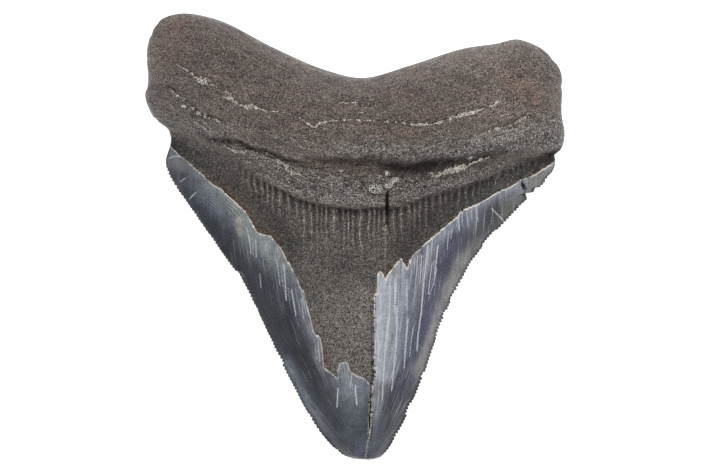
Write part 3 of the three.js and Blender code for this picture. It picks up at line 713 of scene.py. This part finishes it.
# Each tone: its factor, middle, radii and lean.
ENAMEL_TONES = [
    (1.3, -29.8, 6.4, 4, 2.4, -0.8), (0.62, -13.4, -16, 1.7, 4.5, 0.4), (0.6, 10.4, -33.5, 2.4, 5, -0.4),
    (0.62, -11, -22.5, 2, 3.6, 0.4), (0.86, -23.4, -4.6, 2, 6, 0.9), (1.1, 11.8, -26, 1.2, 3, -0.3),
    (0.88, 7.6, -18, 2.2, 6, -0.1), (0.84, 31, 7, 3.4, 1.4, 0.7), (0.84, 22.6, -1, 2, 3, 0.8),
    (1.16, 4, -27, 1, 9, 0), (0.68, 7.2, -31, 1.9, 7, -0.1), (0.64, 6.8, -37.2, 1.6, 3.4, -0.4),
    (0.86, 8, -13, 1.5, 3, 0), (0.9, 6, -23, 1.4, 3, 0), (0.84, 17.2, -5.4, 1.2, 2.2, 0.9),
    (0.86, -21, -4.8, 2, 2.4, 0.7), (0.93, -2, -26.6, 1.4, 1.4, 0), (1.14, 1.6, -31, 1.4, 4, 0),
    (0.78, -18, -9, 1.6, 3, 0.6), (0.8, -24.5, 1, 1.4, 2, 0.6), (0.8, -7.6, -31.5, 1.6, 3, 0.5),
    (0.84, 1.6, -38, 2, 2, 0), (1.16, -9, -34.4, 1, 3, 0.6), (1.42, -33, 7.2, 3, 1.8, -0.8),
    (0.8, -11, -23, 1.3, 3, 0.4), (0.88, -25, -0.8, 2, 2.6, 0.7), (1.14, -16.6, -1.2, 2, 2.2, -0.6),
    (1.12, -12.6, -5.4, 1.4, 2.4, 0.5), (0.9, -9.4, -22.6, 1.2, 2.6, 0.2), (0.9, -1, -29, 2.4, 1.6, 0),
    (1.24, 39.2, 15, 1.8, 1.4, 0.5), (1.14, 19, -0.8, 2, 2.2, 0.8), (1.14, 15, -12.8, 1.2, 3, -0.3),
    (0.86, 22.6, -1.8, 1.8, 2.4, 0.8), (1.26, 24.6, 6.4, 4.6, 1.3, 0.5), (1.16, 31.4, 10.2, 3, 0.9, 0.4),
    (1.1, -9.4, -16, 1.4, 5, 0.3), (0.9, -12.4, -19, 1.4, 3.6, 0.5), (1.14, 38.6, 14.2, 2.4, 1.4, 0.6),
    (1.1, 17.6, -3.2, 3, 2.2, 0.8), (0.74, -5.4, -36.6, 3, 2.2, 0), (1.12, 15.2, -15.5, 1.8, 5, -0.3),
    (0.54, 25.4, 1.9, 4.4, 2, 0.85), (1.22, -11.4, -28.4, 1.1, 4.4, 0.55),
    (0.88, 20, -4.6, 2.6, 1.6, 0.9), (1.5, 2.4, -42.2, 2.4, 1.6, 0), (1.12, 28, 7.4, 3, 1.4, 0.6),
    (0.91, 7, -31, 2, 8, -0.1), (0.94, -13, -15, 1.8, 3.4, 0.3), (0.92, 29, 5.4, 3, 1.2, 0.7),
]
BONE_TONES = [
    (0.86, -31, 38.5, 13, 7.5, -0.3), (0.9, -5, 30.5, 17, 5, 0), (1.26, 29, 23.6, 10, 4.6, 0.3),
    (1.18, -28, 19.6, 6, 3.2, -0.4), (0.89, 12, 13.6, 8, 3, 0.1), (0.86, 27, 15.4, 5, 2, 0.4),
    (0.9, -14, 2, 5, 4, 0), (1.14, 1.5, -1, 6, 2.4, 0), (0.84, 29, 15.4, 4, 1.6, 0.4),
    (0.94, 15, 28, 12, 4, 0), (1.14, -22, 19.6, 7, 2.6, -0.3), (1.12, -9, 15.6, 9, 2, -0.1),
    (1.08, 25, 19.6, 6, 2, 0.2), (0.91, 10, 4.6, 8, 2.4, 0.1), (1.1, 0, -11.5, 3.6, 6, 0),
    (0.9, -19, 7.4, 4, 2, -0.5), (1.08, -12, 9.6, 3, 2.4, 0), (1.12, 2, -17, 1.6, 8, 0),
    (1.08, -10.6, 8.4, 4, 3, 0), (1.06, 5, 7.4, 4, 1.4, 0), (1.1, -7, 1.2, 4, 2, 0),
    (1.08, -3, -14.8, 3, 5, 0), (1.12, 33, 19.4, 4, 3, 0.2), (1.06, 0, 19.6, 14, 3.6, 0),
    (1.07, 29, 28, 12, 7, 0.2), (1.1, -29, 22.6, 6, 5, -0.3), (1.08, -21, 28, 6, 3, -0.3),
    (1.07, -5, 13, 12, 2.6, 0), (1.3, 9, 13.4, 3.4, 0.9, 0), (1.06, -2, 24, 5, 3, 0),
    (1.14, 30.6, 11.6, 3, 1.2, 0.4), (1.1, -3, 15.6, 6, 1.6, 0), (1.1, 27, 9.6, 5, 1.2, 0.4),
]
ROOT_SPOTS = [
    (0.35, -35.4, 42, 2.6, 1.6, 0, (128, 92, 78)), (0.3, -36.4, 37.2, 3.2, 2.4, 0, (126, 98, 84)),
    (0.38, 34.2, 29, 3.4, 2.2, -0.5, (136, 100, 82)), (0.35, 9.6, 19.4, 3, 1.6, 0.4, (128, 102, 82)),
    (0.3, -8, 19, 2.4, 1.8, 0, (124, 100, 82)), (0.25, 29, 33, 3, 2, 0, (130, 112, 98)),
    (0.45, 26.6, 33.2, 2.2, 1, 0.2, (136, 135, 134)), (0.4, -31, 22.5, 8.5, 3.4, -0.5, (86, 82, 78)),
    (0.4, -39.6, 28.4, 1.8, 3.4, 0, (80, 77, 74)), (0.4, 12.6, 35, 5, 1.1, 0.5, (118, 116, 112)),
    (0.3, 22, 20, 7, 2.4, 0.25, (98, 90, 84)), (0.3, -20, 38.6, 8, 2, -0.45, (96, 88, 82)),
    (0.3, 36.8, 22, 2.4, 4, 0, (98, 90, 84)),
]


def shade(red, green, blue):
    """A screen colour out of 255 as linear light."""
    c = np.array([red, green, blue]) / 255
    return np.where(c <= 0.04045, c / 12.92, ((c + 0.055) / 1.055) ** 2.4)


def wash(colours, mask, colour):
    """Moves the colours towards a screen colour by the mask's share."""
    colours += (shade(*colour) - colours) * np.clip(mask, 0, 1)[:, None]


def spot(x, y, cx, cy, rx, ry, lean=0.0):
    """A soft oval: a bell of the distance from its middle, measured in its two radii."""
    dx, dy = x - cx, y - cy
    c, s = np.cos(lean), np.sin(lean)
    return bell(np.hypot((dx * c + dy * s) / rx, (dy * c - dx * s) / ry))


def stroke(x, y, line, half, crisp=1):
    """A soft band along a line: a bell of the distance from it, with a flatter top when it is crisp."""
    return bell((reach(x, y, line) / half) ** crisp)


def washes(colours, x, y, bands, spots, mask=1.0, crisp=1):
    """Lays the listed bands and then the listed spots over the colours, inside the mask."""
    for strength, line, half, colour in bands:
        wash(colours, mask * strength * stroke(x, y, line, half, crisp), colour)
    for strength, cx, cy, rx, ry, lean, colour in spots:
        wash(colours, mask * strength * spot(x, y, cx, cy, rx, ry, lean), colour)


def tone(colours, x, y, tones):
    """Multiplies the colours by each tone's factor, as far as its soft oval goes."""
    for factor, *oval in tones:
        colours *= (1 + (factor - 1) * spot(x, y, *oval))[:, None]


def enamel_colours(x, y, bare, inset):
    """Slate enamel: near black along the left edge, its dark colour with a painted dark reflection, pale
    beside the crack on the right, with a painted highlight along the right edge and a painted reflection low
    on the left edge.
    """
    out = np.tile(shade(*SLATE), (len(x), 1))
    into = -bare
    right = ease(3.3, 3.9, x) * ease(-46, -30, y) + ease(8, 14, x) * ease(-4, 2, y)
    left = 1 - np.clip(right, 0, 1)
    wash(out, right, PALE_SLATE)
    # paler towards the bare zone
    wash(out, 0.78 * left * ease(-13, -4, y) * (1 - ease(9, 14, y)) * bell(into / 3.9), (112, 118, 120))
    wash(out, 0.66 * left * (1 - ease(-14, -8, y)) * ease(-29, -24, y) * bell(into / 1.6), (110, 114, 122))
    wash(out, 0.55 * right * ease(-9, 2, y) * bell(into / 2.4), (128, 132, 143))
    washes(out, x, y, LEFT_BANDS, LEFT_SPOTS, left)
    washes(out, x, y, RIGHT_BANDS, RIGHT_SPOTS, right, 1.8)
    dark_edge = 1 - 0.7 * ease(0, 5, y) * (x < 0) - 0.7 * ease(36.5, 38, x)
    wash(out, 0.70 * bell(inset / 0.45) * dark_edge, (34, 35, 37))
    # one pale blot beside the bare zone on the left
    oval = np.hypot((x + 23.1) / 0.75, (y - 2.3) / 2.4)
    wash(out, 0.85 * (1 - ease(0.75, 1.08, oval)), (140, 138, 127))
    tone(out, x, y, ENAMEL_TONES)
    return out * ENAMEL_GAIN


def root_colours(out, x, y, root):
    """Washes the root: its spots, the bulge's lower side, painted shade in the groove, its crevice and its
    right end, the lip and the nutrient hole.
    """
    wash(out, 0.5 * ease(10, 30, x) * root, (118, 108, 101))
    washes(out, x, y, [], ROOT_SPOTS, root)
    bulge = y - line_height(OVERHANG, x)
    deep = through(GROOVE_DEPTH, x) / GROOVE_DEEPEST
    middle = ease(-22, -14, x)
    wash(out, 0.45 * bell((bulge - 3.2) / 2.2) * middle * root, (122, 116, 111))
    wash(out, 0.60 * spot(x, y, -1.0, 8.6, 9.0, 2.6) * root, (124, 119, 115))
    wash(out, 0.50 * middle * bell((bulge + 4.2) / 2.4) * (1 - ease(-8, -4, x)) * root, (88, 82, 78))
    wash(out, 0.45 * ease(9, 12, x) * bell((bulge + 4.2) / 2.4) * root, (92, 86, 82))
    # painted shade in the groove under the overhang, strongest where the groove is deep
    wash(out, (0.22 + 0.66 * ease(2, 10, x)) * deep**0.6 * bell((bulge + 0.6) / 1.4) * root, (44, 39, 36))
    # painted shadow along the crevice under the left part of the overhang, broken up by noise
    crevice = ease(-34, -29, x) * (1 - ease(-12, -8, x)) * np.clip(0.75 + 0.7 * rough(x, y, 1.8, 25), 0, 1)
    wash(out, 0.70 * crevice * bell((bulge + 0.35) / 0.6) * root, (44, 40, 37))
    # painted shade along the groove's right end
    wash(out, 0.55 * root * stroke(x, y, GROOVE_END, 1.3), (58, 52, 48))
    wash(out, 0.55 * root * spot(x, y, 0.6, 10.6, 2.2, 1.2), HOLE_SHADE)
    wash(out, 0.45 * root * spot(x, y, 9.6, 11.6, 2.6, 0.9), HOLE_SHADE)


def dentine_colours(out, x, y, bare, below_lip, dentine):
    """Washes the bare dentine: paler down the middle, dark under the lip with a painted shadow of its step,
    dark beside the enamel, with a brown tint along some stretches of the enamel's edge."""
    wash(out, dentine, DENTINE_BROWN)
    wash(out, dentine * 0.70 * ease(-6, -22, y), (120, 115, 109))
    wash(out, dentine * 0.55 * spot(x, y, 2, -15, 6, 6), (128, 122, 117))
    # painted shadow just under the lip's step
    wash(out, dentine * 0.75 * bell(below_lip / 1.3) * ease(-20, -12, x), (58, 53, 50))
    wash(out, dentine * 0.75 * stroke(x, y, LEFT_SHADE, 2.3), (56, 50, 46))
    wash(out, dentine * 0.80 * stroke(x, y, RIGHT_SHADE, 2.4), (54, 49, 46))
    wash(out, dentine * 0.50 * spot(x, y, -1.4, -5.4, 3.4, 2.6), (72, 66, 63))
    left = ease(-32, -26, x) * (1 - ease(-16, -12, x))
    wash(out, dentine * 0.60 * bell((bare - 0.3) / 0.7) * left, (98, 70, 46))
    wash(out, dentine * 0.45 * stroke(x, y, LEFT_TINT, 0.7), (92, 72, 56))
    wash(out, dentine * 0.50 * stroke(x, y, RIGHT_TINT, 0.7), (88, 70, 54))


def bone_colours(x, y, bare, inset, station):
    """Warm grey-brown bone: the root above the lip, and the bare dentine below it."""
    out = np.tile(shade(*BONE_BROWN), (len(x), 1))
    below_lip = line_height(LIP, x) - y
    dentine = ease(0.0, 0.4, below_lip)
    root_colours(out, x, y, 1 - dentine)
    dentine_colours(out, x, y, bare, below_lip, dentine)
    # painted rim light: a pale band along the root's outline
    rim = np.minimum(inset, (2 - station) * 30)
    wash(out, 0.55 * bell(rim / 0.6) * ease(1.05, 1.2, station), (138, 136, 132))
    tone(out, x, y, BONE_TONES)
    return out * BONE_GAIN


def sparkle(x, y):
    """How thickly the bone is strewn with painted glints: on the lip, above the groove and low on both lobes,
    and hardly at all in the groove's right part."""
    bulge = y - line_height(OVERHANG, x)
    above_lip = y - line_height(LIP, x)
    lip = ease(-0.2, 0.6, above_lip) * (1 - ease(5.0, 9.0, above_lip)) * ease(-26, -18, x)
    above = bell((bulge - 2.6) / 2.0) * ease(-10, 2, x)
    lobes = 0.7 * spot(x, y, -32, 21.4, 8, 4, -0.4) + 0.45 * spot(x, y, 34, 18, 8, 5, 0.2)
    strewn = 0.18 + 0.70 * lip + 0.70 * above + lobes
    return np.clip(strewn * (1 - 0.85 * bell((bulge + 1.1) / 1.5) * ease(4, 10, x)), 0, 1)


def colour_tooth(mesh, places):
    """Gives the mesh its two maps, its two colour sheets, and the numbers that the finish reads.

    They are distances in millimetres, half widths, a count of ridges, and shares from 0 to 1."""
    count = len(mesh.vertices)
    flat = np.empty(count * 3, np.float32)
    mesh.vertices.foreach_get("co", flat)
    x, y = (flat.reshape(-1, 3)[:, :2].astype(float) * 1000).T
    across, station, upper = places.T
    upper = upper > 0.5
    inset = from_edge(across, station)
    bare = np.where(upper, bare_distance(x, y), labial_bare(x, y))
    away_below = np.where(upper, 0.0, 9.0)
    beat, window = rim_ridges(x, y)
    valley = np.where(across < 0.5, nibble(LEFT, station), nibble(RIGHT, station))
    # each growth crack's painted shadow line runs just above its mineral
    above = [(np.array(line) + (0, 0.22), 0.5 * np.array(halves) + 0.07) for line, halves in GROWTH_CRACKS]
    marks = {"split": SPLITS, "thread": THREADS, "mineral": GROWTH_CRACKS, "crack": above,
             "fissure": FISSURES, "streak": STREAKS, "tip_gap": [SPLITS[1]]}
    right = x > 3
    left_fluting = 0.75 - 0.55 * ease(-2, 3, y) - 0.30 * (1 - ease(-24, -12, y))
    fluting = np.where(right, 1.0 - 0.6 * ease(27, 34, x), left_fluting)
    numbers = {
        "bare": bare,
        "inset": inset,
        "below_lip": line_height(LIP, x) - y,
        "crumb": crumb_distance(x, y) + away_below,
        "beat": beat,
        "rim": window * upper,
        "worn": valley * (inset < 2) * (station < 1),
        "sparkle": sparkle(x, y),
        "seam": np.where(right, 0.25 + 0.70 * ease(3.4, 4.6, x), 0.50),
        "fluting": bell(np.minimum(bare, 0) / np.where(right, 8.0, 5.0)) * fluting,
        "wrinkle": spot(x, y, -27.0, 6.8, 5.4, 3.0, -0.75) * upper,
    }
    for name, lines in marks.items():
        side, half = beside(x, y, lines)
        numbers[name] = side
        numbers[name + "_half"] = half - away_below
    for name, values in numbers.items():
        mesh.attributes.new(name, "FLOAT", "POINT").data.foreach_set("value", values.astype(np.float32))
    sheets = {"enamel_sheet": enamel_colours(x, y, bare, inset),
              "bone_sheet": bone_colours(x, y, bare, inset, station)}
    for name, colours in sheets.items():
        rgba = np.concatenate([np.clip(colours, 0, 1), np.ones((count, 1))], 1).astype(np.float32)
        mesh.attributes.new(name, "FLOAT_COLOR", "POINT").data.foreach_set("color", rgba.ravel())
    corner = np.empty(len(mesh.loops), np.int32)
    mesh.loops.foreach_get("vertex_index", corner)
    for name, u, v in (("place", across, station / 2), ("strands", strand(x, y), y)):
        uv = np.stack([u, v], 1)[corner].astype(np.float32)
        mesh.uv_layers.new(name=name).data.foreach_set("uv", uv.ravel())


# The finish

class Wire:
    """A node's output that Python's own operators can reckon with."""

    def __init__(self, finish, socket):
        self.finish = finish
        self.socket = socket

    def reckon(self, operation, *values):
        return self.finish.node("Math", {"operation": operation}, dict(enumerate(values)), 0)

    def __add__(self, other):
        return self.reckon("ADD", self, other)

    def __radd__(self, other):
        return self.reckon("ADD", other, self)

    def __sub__(self, other):
        return self.reckon("SUBTRACT", self, other)

    def __rsub__(self, other):
        return self.reckon("SUBTRACT", other, self)

    def __mul__(self, other):
        return self.reckon("MULTIPLY", self, other)

    def __rmul__(self, other):
        return self.reckon("MULTIPLY", other, self)

    def __mod__(self, other):
        return self.reckon("FLOORED_MODULO", self, other)

    def __abs__(self):
        return self.reckon("ABSOLUTE", self)


class Finish:
    """A material and its nodes."""

    def __init__(self, name):
        self.material = bpy.data.materials.new(name)
        self.material.use_nodes = True
        self.tree = self.material.node_tree
        self.tree.nodes.clear()

    def node(self, kind, settings, sockets, output):
        """Makes a node: its settings first, then its sockets' values or links. Gives back one output."""
        made = self.tree.nodes.new("ShaderNode" + kind)
        for key, value in settings.items():
            setattr(made, key, value)
        for key, value in sockets.items():
            if isinstance(value, Wire):
                self.tree.links.new(value.socket, made.inputs[key])
            else:
                made.inputs[key].default_value = value
        return Wire(self, made.outputs[output]) if output is not None else None

    def number(self, name):
        """One of the mesh's own numbers."""
        return self.node("Attribute", {"attribute_name": name}, {}, "Fac")

    def mark(self, name, wander, low, high):
        """1 on the named line and 0 off it, as its half width plus a wander runs out from high to low."""
        return self.step(self.number(name + "_half") + wander - abs(self.number(name)), low, high)

    def sheet(self, name):
        """One of the mesh's own colours."""
        return self.node("Attribute", {"attribute_name": name}, {}, "Color")

    def step(self, value, low, high):
        """Eases from 0 at low to 1 at high. Low may be the larger."""
        return self.node("MapRange", {"interpolation_type": "SMOOTHSTEP"},
                         {"Value": value, "From Min": low, "From Max": high, "To Min": 0.0, "To Max": 1.0},
                         "Result")

    def blend(self, share, a, b):
        """Mixes two colours."""
        return self.node("Mix", {"data_type": "RGBA"}, {0: share, 6: a, 7: b}, 2)

    def scaled(self, vector, amount):
        """A colour or place times one number."""
        return self.node("VectorMath", {"operation": "SCALE"}, {0: vector, 3: amount}, 0)

    def stretched(self, vector, amounts):
        """A colour or place times three numbers."""
        return self.node("VectorMath", {"operation": "MULTIPLY"}, {0: vector, 1: amounts}, 0)

    def grain(self, vector, scale, detail=2.0, roughness=0.6, distortion=0.0):
        """Soft random noise from 0 to 1."""
        return self.node("TexNoise", {"noise_dimensions": "3D"},
                         {"Vector": vector, "Scale": scale, "Detail": detail, "Roughness": roughness,
                          "Distortion": distortion}, "Fac")

    def done(self, surface):
        """Puts the surface out and gives back the material."""
        self.node("OutputMaterial", {}, {"Surface": surface}, None)
        return self.material


def paint(red, green, blue):
    """A screen colour as four linear numbers for a socket."""
    return (*shade(red, green, blue), 1.0)


def bone_grain(f, mm, place):
    """Bone's colour and height before its marks: salt and pepper in thin layers, with folds darkened by
    painted shade, and painted glints.
    """
    salt = f.grain(mm, 3.9, roughness=0.65, distortion=1.2)
    pepper = f.grain(mm, 5.2, detail=1.0, roughness=0.5)
    blotch = f.grain(mm, 0.30, detail=3.0)
    layers = f.grain(f.stretched(place, (26.0, 150.0, 1.0)), 1.0, detail=3.0)
    worms = f.step(abs(f.grain(mm, 1.7, distortion=1.4) - 0.5), 0.06, 0.0)
    bone = f.sheet("bone_sheet")
    bone = f.blend(0.55 * f.step(blotch, 0.45, 0.75), bone, f.stretched(bone, (1.12, 0.99, 0.90)))
    grains = (0.08 + 1.84 * f.step(salt, 0.37, 0.64)) * (0.50 + 1.00 * f.step(pepper, 0.32, 0.68))
    bone = f.scaled(bone, grains * (1.12 + 0.50 * (blotch - 0.5) + 1.40 * (layers - 0.5) - 0.38 * worms))
    warm = f.step(f.grain(mm, 2.1), 0.36, 0.64)
    bone = f.blend(warm, f.stretched(bone, (0.94, 1.00, 1.07)), f.stretched(bone, (1.06, 1.00, 0.94)))
    strewn = f.number("sparkle")
    folds = f.grain(f.stretched(place, (24.0, 60.0, 1.0)), 1.0, detail=3.0, distortion=0.6)
    folds = f.step(abs(folds - 0.5), 0.05, 0.0) * (0.20 + 0.80 * strewn)
    # painted shade darkens the creases of the folds
    bone = f.scaled(bone, 1.0 - 0.60 * folds)
    # painted glints: small pale specks, thickest where the sparkle number is high
    painted_glints = f.step(f.grain(mm, 3.8, detail=1.0, distortion=0.8) + 0.06 * strewn, 0.58, 0.70)
    painted_glints = painted_glints * f.step(f.grain(mm, 1.1) + 0.08 * strewn, 0.44, 0.56)
    bone = f.blend(painted_glints * (0.14 + 0.66 * strewn), f.scaled(bone, 1.0 - 0.04 * strewn), paint(214, 212, 209))
    return bone, 0.30 * salt + 0.14 * pepper + 0.18 * layers - 0.10 * worms - 0.22 * folds


def ridged(f, mm, bone):
    """Adds the ridges: painted shade in the slots and painted highlight on the thin crests, with painted
    shadow darkest just under the lip.
    """
    wave = abs(2.0 * (f.number("beat") % 1.0) - 1.0)
    rim = f.number("rim")
    slots = f.step(wave, 0.55, 0.15)
    crests = f.step(wave, 0.78, 0.95) * f.step(f.grain(f.stretched(mm, (1.3, 0.20, 0.0)), 1.0), 0.28, 0.52)
    # painted highlight on the crests and painted shade in the slots
    bone = f.scaled(bone, 1.0 + rim * (1.75 * crests - 0.42 * slots))
    # painted shadow in the slots just under the lip
    under_lip = f.step(abs(f.number("below_lip") - 0.8), 1.1, 0.3)
    return f.blend(0.60 * under_lip * slots * rim, bone, paint(30, 26, 24)), 0.10 * rim * wave


def cracked(f, mm, bone, crumbs):
    """Adds the growth cracks, a painted shadow line with pale mineral below, then the piles of crumbs and the
    hairlines.
    """
    # painted shadow along each growth crack, just above its mineral
    dark = f.mark("crack", 0.55 * (crumbs - 0.5), -0.06, 0.06)
    bone = f.blend(0.85 * dark, bone, paint(30, 26, 23))
    fill = f.grain(mm, 4.0, detail=1.0, roughness=0.5)
    patches = f.grain(mm, 1.1, detail=1.0, roughness=0.5)
    chalk = f.blend(f.step(fill, 0.35, 0.65), paint(120, 110, 96), paint(232, 226, 214))
    mineral = f.mark("mineral", 0.75 * (fill - 0.50) + 1.10 * (patches - 0.47), -0.05, 0.05)
    bone = f.blend(0.95 * mineral, bone, chalk)
    crumb = f.blend(f.step(fill, 0.44, 0.56), paint(58, 52, 46), paint(236, 233, 226))
    pile = f.step(f.number("crumb") + 1.6 * (fill - 0.5), 0.10, -0.10)
    bone = f.blend(0.85 * pile, bone, crumb)
    bone = f.blend(0.85 * f.mark("fissure", 0.35 * (crumbs - 0.5), -0.05, 0.05), bone, paint(28, 24, 22))
    return bone, 0.10 * mineral + 0.12 * pile


def bone_look(f, mm, place, crumbs):
    """Bone's colour and height with all its marks."""
    bone, grain_height = bone_grain(f, mm, place)
    bone, ridge_height = ridged(f, mm, bone)
    bone, crack_height = cracked(f, mm, bone, crumbs)
    return bone, grain_height + ridge_height + crack_height


def enamel_look(f, mm, hairs, strands, crumbs, edge, inset):
    """Enamel's colour and height: streaks that run to the tip, thickest near the bare zone."""
    flutes = f.grain(f.stretched(strands, (1.7, 0.07, 1.0)), 1.0)
    bands = f.grain(f.stretched(strands, (0.55, 0.05, 1.0)), 1.0, roughness=0.5)
    mottle = f.grain(mm, 0.55, detail=5.0, roughness=0.68)
    specks = f.grain(mm, 3.0, detail=3.0, roughness=0.75)
    enamel = f.sheet("enamel_sheet")
    near = f.number("fluting")
    level = 1.0 + (0.25 + 1.10 * near) * (flutes - 0.5) + (0.30 + 0.45 * near) * (bands - 0.5)
    level = level + (2.70 - 1.50 * f.number("seam")) * (mottle - 0.5) + (1.70 - 1.00 * near) * (specks - 0.5)
    enamel = f.scaled(enamel, level)
    warm = f.step(bands, 0.36, 0.64)
    enamel = f.blend(warm, f.stretched(enamel, (0.98, 0.99, 1.03)), f.stretched(enamel, (1.02, 1.01, 0.98)))
    enamel = f.blend(0.66 * near * f.step(hairs, 0.55, 0.68), enamel, paint(192, 196, 201))
    enamel = f.blend(0.40 * near * f.step(hairs, 0.43, 0.32), enamel, paint(48, 50, 62))
    # wrinkles like a fingerprint on the left shoulder
    curls = f.node("TexWave", {"wave_type": "BANDS", "bands_direction": "DIAGONAL"},
                   {"Vector": mm, "Scale": 0.62, "Distortion": 16.0, "Detail": 1.0, "Detail Scale": 0.30},
                   "Fac")
    enamel = f.scaled(enamel, 1.0 + f.number("wrinkle") * (curls - 0.5))
    # scratches, worn serrations, and the pale broken edge beside the bare zone
    streak = f.mark("streak", 0.20 * (crumbs - 0.5), -0.10, 0.10) * f.step(crumbs, 0.22, 0.46)
    enamel = f.blend(0.66 * streak, enamel, paint(202, 206, 212))
    worn = f.step(f.number("worn"), 0.03, 0.20) * f.step(inset, 0.8, 0.15)
    enamel = f.blend(0.70 * worn, enamel, paint(30, 30, 31))
    seam = f.step(abs(edge + 0.12) + 0.35 * (crumbs - 0.5), 0.20, 0.05)
    enamel = f.blend(f.number("seam") * seam * f.step(mottle, 0.32, 0.54), enamel, paint(220, 209, 193))
    return enamel, 0.012 * flutes + 0.006 * mottle + 0.03 * streak


def split_look(f, mm, colour, is_bone, crumbs):
    """Draws the open splits in dark beads of painted shade, the pale lips of the one at the tip, and the
    mineral threads.
    """
    split = f.mark("split", 2.4 * (f.grain(mm, 1.5, detail=1.0) - 0.50), -0.05, 0.05)
    lips = f.mark("tip_gap", 0.16 + 0.40 * (crumbs - 0.5), -0.06, 0.06) * (1.0 - is_bone)
    thread = f.mark("thread", 0.40 * (crumbs - 0.5), -0.06, 0.06)
    mineral = f.blend(f.step(crumbs, 0.40, 0.58), paint(70, 62, 54), paint(188, 178, 158))
    colour = f.blend(0.70 * thread, colour, mineral)
    colour = f.blend(0.75 * lips, colour, paint(186, 180, 166))
    # near-black painted shade inside the open splits
    return f.blend(0.95 * split, colour, paint(12, 11, 10))


ENAMEL_ROUGHNESS = 0.28
BONE_ROUGHNESS = 0.58


def tooth_finish():
    """Glossy slate enamel where it is left and grainy bone elsewhere, parted by the distance "bare"."""
    f = Finish("fossil_enamel_and_bone")
    mm = f.scaled(f.node("TexCoord", {}, {}, "Object"), 1000.0)
    place = f.node("UVMap", {"uv_map": "place"}, {}, "UV")
    strands = f.node("UVMap", {"uv_map": "strands"}, {}, "UV")
    crumbs = f.grain(mm, 3.0, roughness=0.7)
    hairs = f.grain(f.stretched(strands, (4.2, 0.13, 1.0)), 1.0)
    edge = f.number("bare") + 0.9 * (hairs - 0.5) + 0.20 * (crumbs - 0.5)
    is_bone = f.step(edge, -0.05, 0.05)
    bone, bone_height = bone_look(f, mm, place, crumbs)
    enamel, enamel_height = enamel_look(f, mm, hairs, strands, crumbs, edge, f.number("inset"))
    colour = split_look(f, mm, f.blend(is_bone, enamel, bone), is_bone, crumbs)
    height = bone_height * is_bone + enamel_height * (1.0 - is_bone)
    bump = f.node("Bump", {}, {"Strength": 1.0, "Distance": 0.001, "Height": height}, "Normal")
    roughness = ENAMEL_ROUGHNESS + (BONE_ROUGHNESS - ENAMEL_ROUGHNESS) * is_bone + 0.20 * (crumbs - 0.5)
    surface = f.node("BsdfPrincipled", {}, {
        "Base Color": colour, "Roughness": roughness, "Normal": bump,
        "IOR": 1.5, "Specular IOR Level": 0.4}, "BSDF")
    return f.done(surface)


def floor_finish():
    """Plain matt white that glows a little, as a light table does."""
    f = Finish("pale_floor")
    return f.done(f.node("BsdfPrincipled", {}, {
        "Base Color": (0.9, 0.9, 0.9, 1.0), "Roughness": 0.9, "Emission Color": (1.0, 1.0, 1.0, 1.0),
        "Emission Strength": 0.7}, "BSDF"))


# The scene

def put(name, mesh, material):
    """An object at the origin with one material."""
    made = bpy.data.objects.new(name, mesh)
    bpy.context.scene.collection.objects.link(made)
    mesh.materials.append(material)
    return made


def lamp(name, size, power, place):
    """A square soft light that faces the origin. Its size and place are in metres."""
    light = bpy.data.lights.new(name, "AREA")
    light.shape = "SQUARE"
    light.size = size
    light.energy = power
    made = bpy.data.objects.new(name, light)
    bpy.context.scene.collection.objects.link(made)
    made.location = place
    made.rotation_euler = Vector(place).to_track_quat("Z", "Y").to_euler()


points, places, tris = build_skin()
tooth_mesh = make_mesh("fossil_tooth", points, tris)
colour_tooth(tooth_mesh, places)
tooth = put("fossil_tooth", tooth_mesh, tooth_finish())
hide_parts("tooth")
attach(tooth, "root")

floor_mesh = bpy.data.meshes.new("floor")
corners = [(-3, -3, 0), (3, -3, 0), (3, 3, 0), (-3, 3, 0)]
floor_mesh.from_pydata(corners, [], [(0, 1, 2, 3)])
floor = put("floor", floor_mesh, floor_finish())

world = bpy.data.worlds.new("studio")
world.use_nodes = True
world.node_tree.nodes["Background"].inputs["Color"].default_value = (1.0, 1.0, 1.0, 1.0)
world.node_tree.nodes["Background"].inputs["Strength"].default_value = 0.45
bpy.context.scene.world = world
bpy.context.scene.view_settings.view_transform = "Standard"

lamp("key", size=0.36, power=7.0, place=(0.20, 0.42, 0.80))
lamp("fill", size=0.6, power=2.5, place=(-0.60, -0.10, 0.60))

camera = bpy.data.objects.new("camera", bpy.data.cameras.new("camera"))
bpy.context.scene.collection.objects.link(camera)
camera.data.sensor_width = 36.0
camera.data.lens = 305.0
camera.data.clip_start = 0.1
camera.location = (-0.0002, 0.0002, 1.2047)
bpy.context.scene.camera = camera
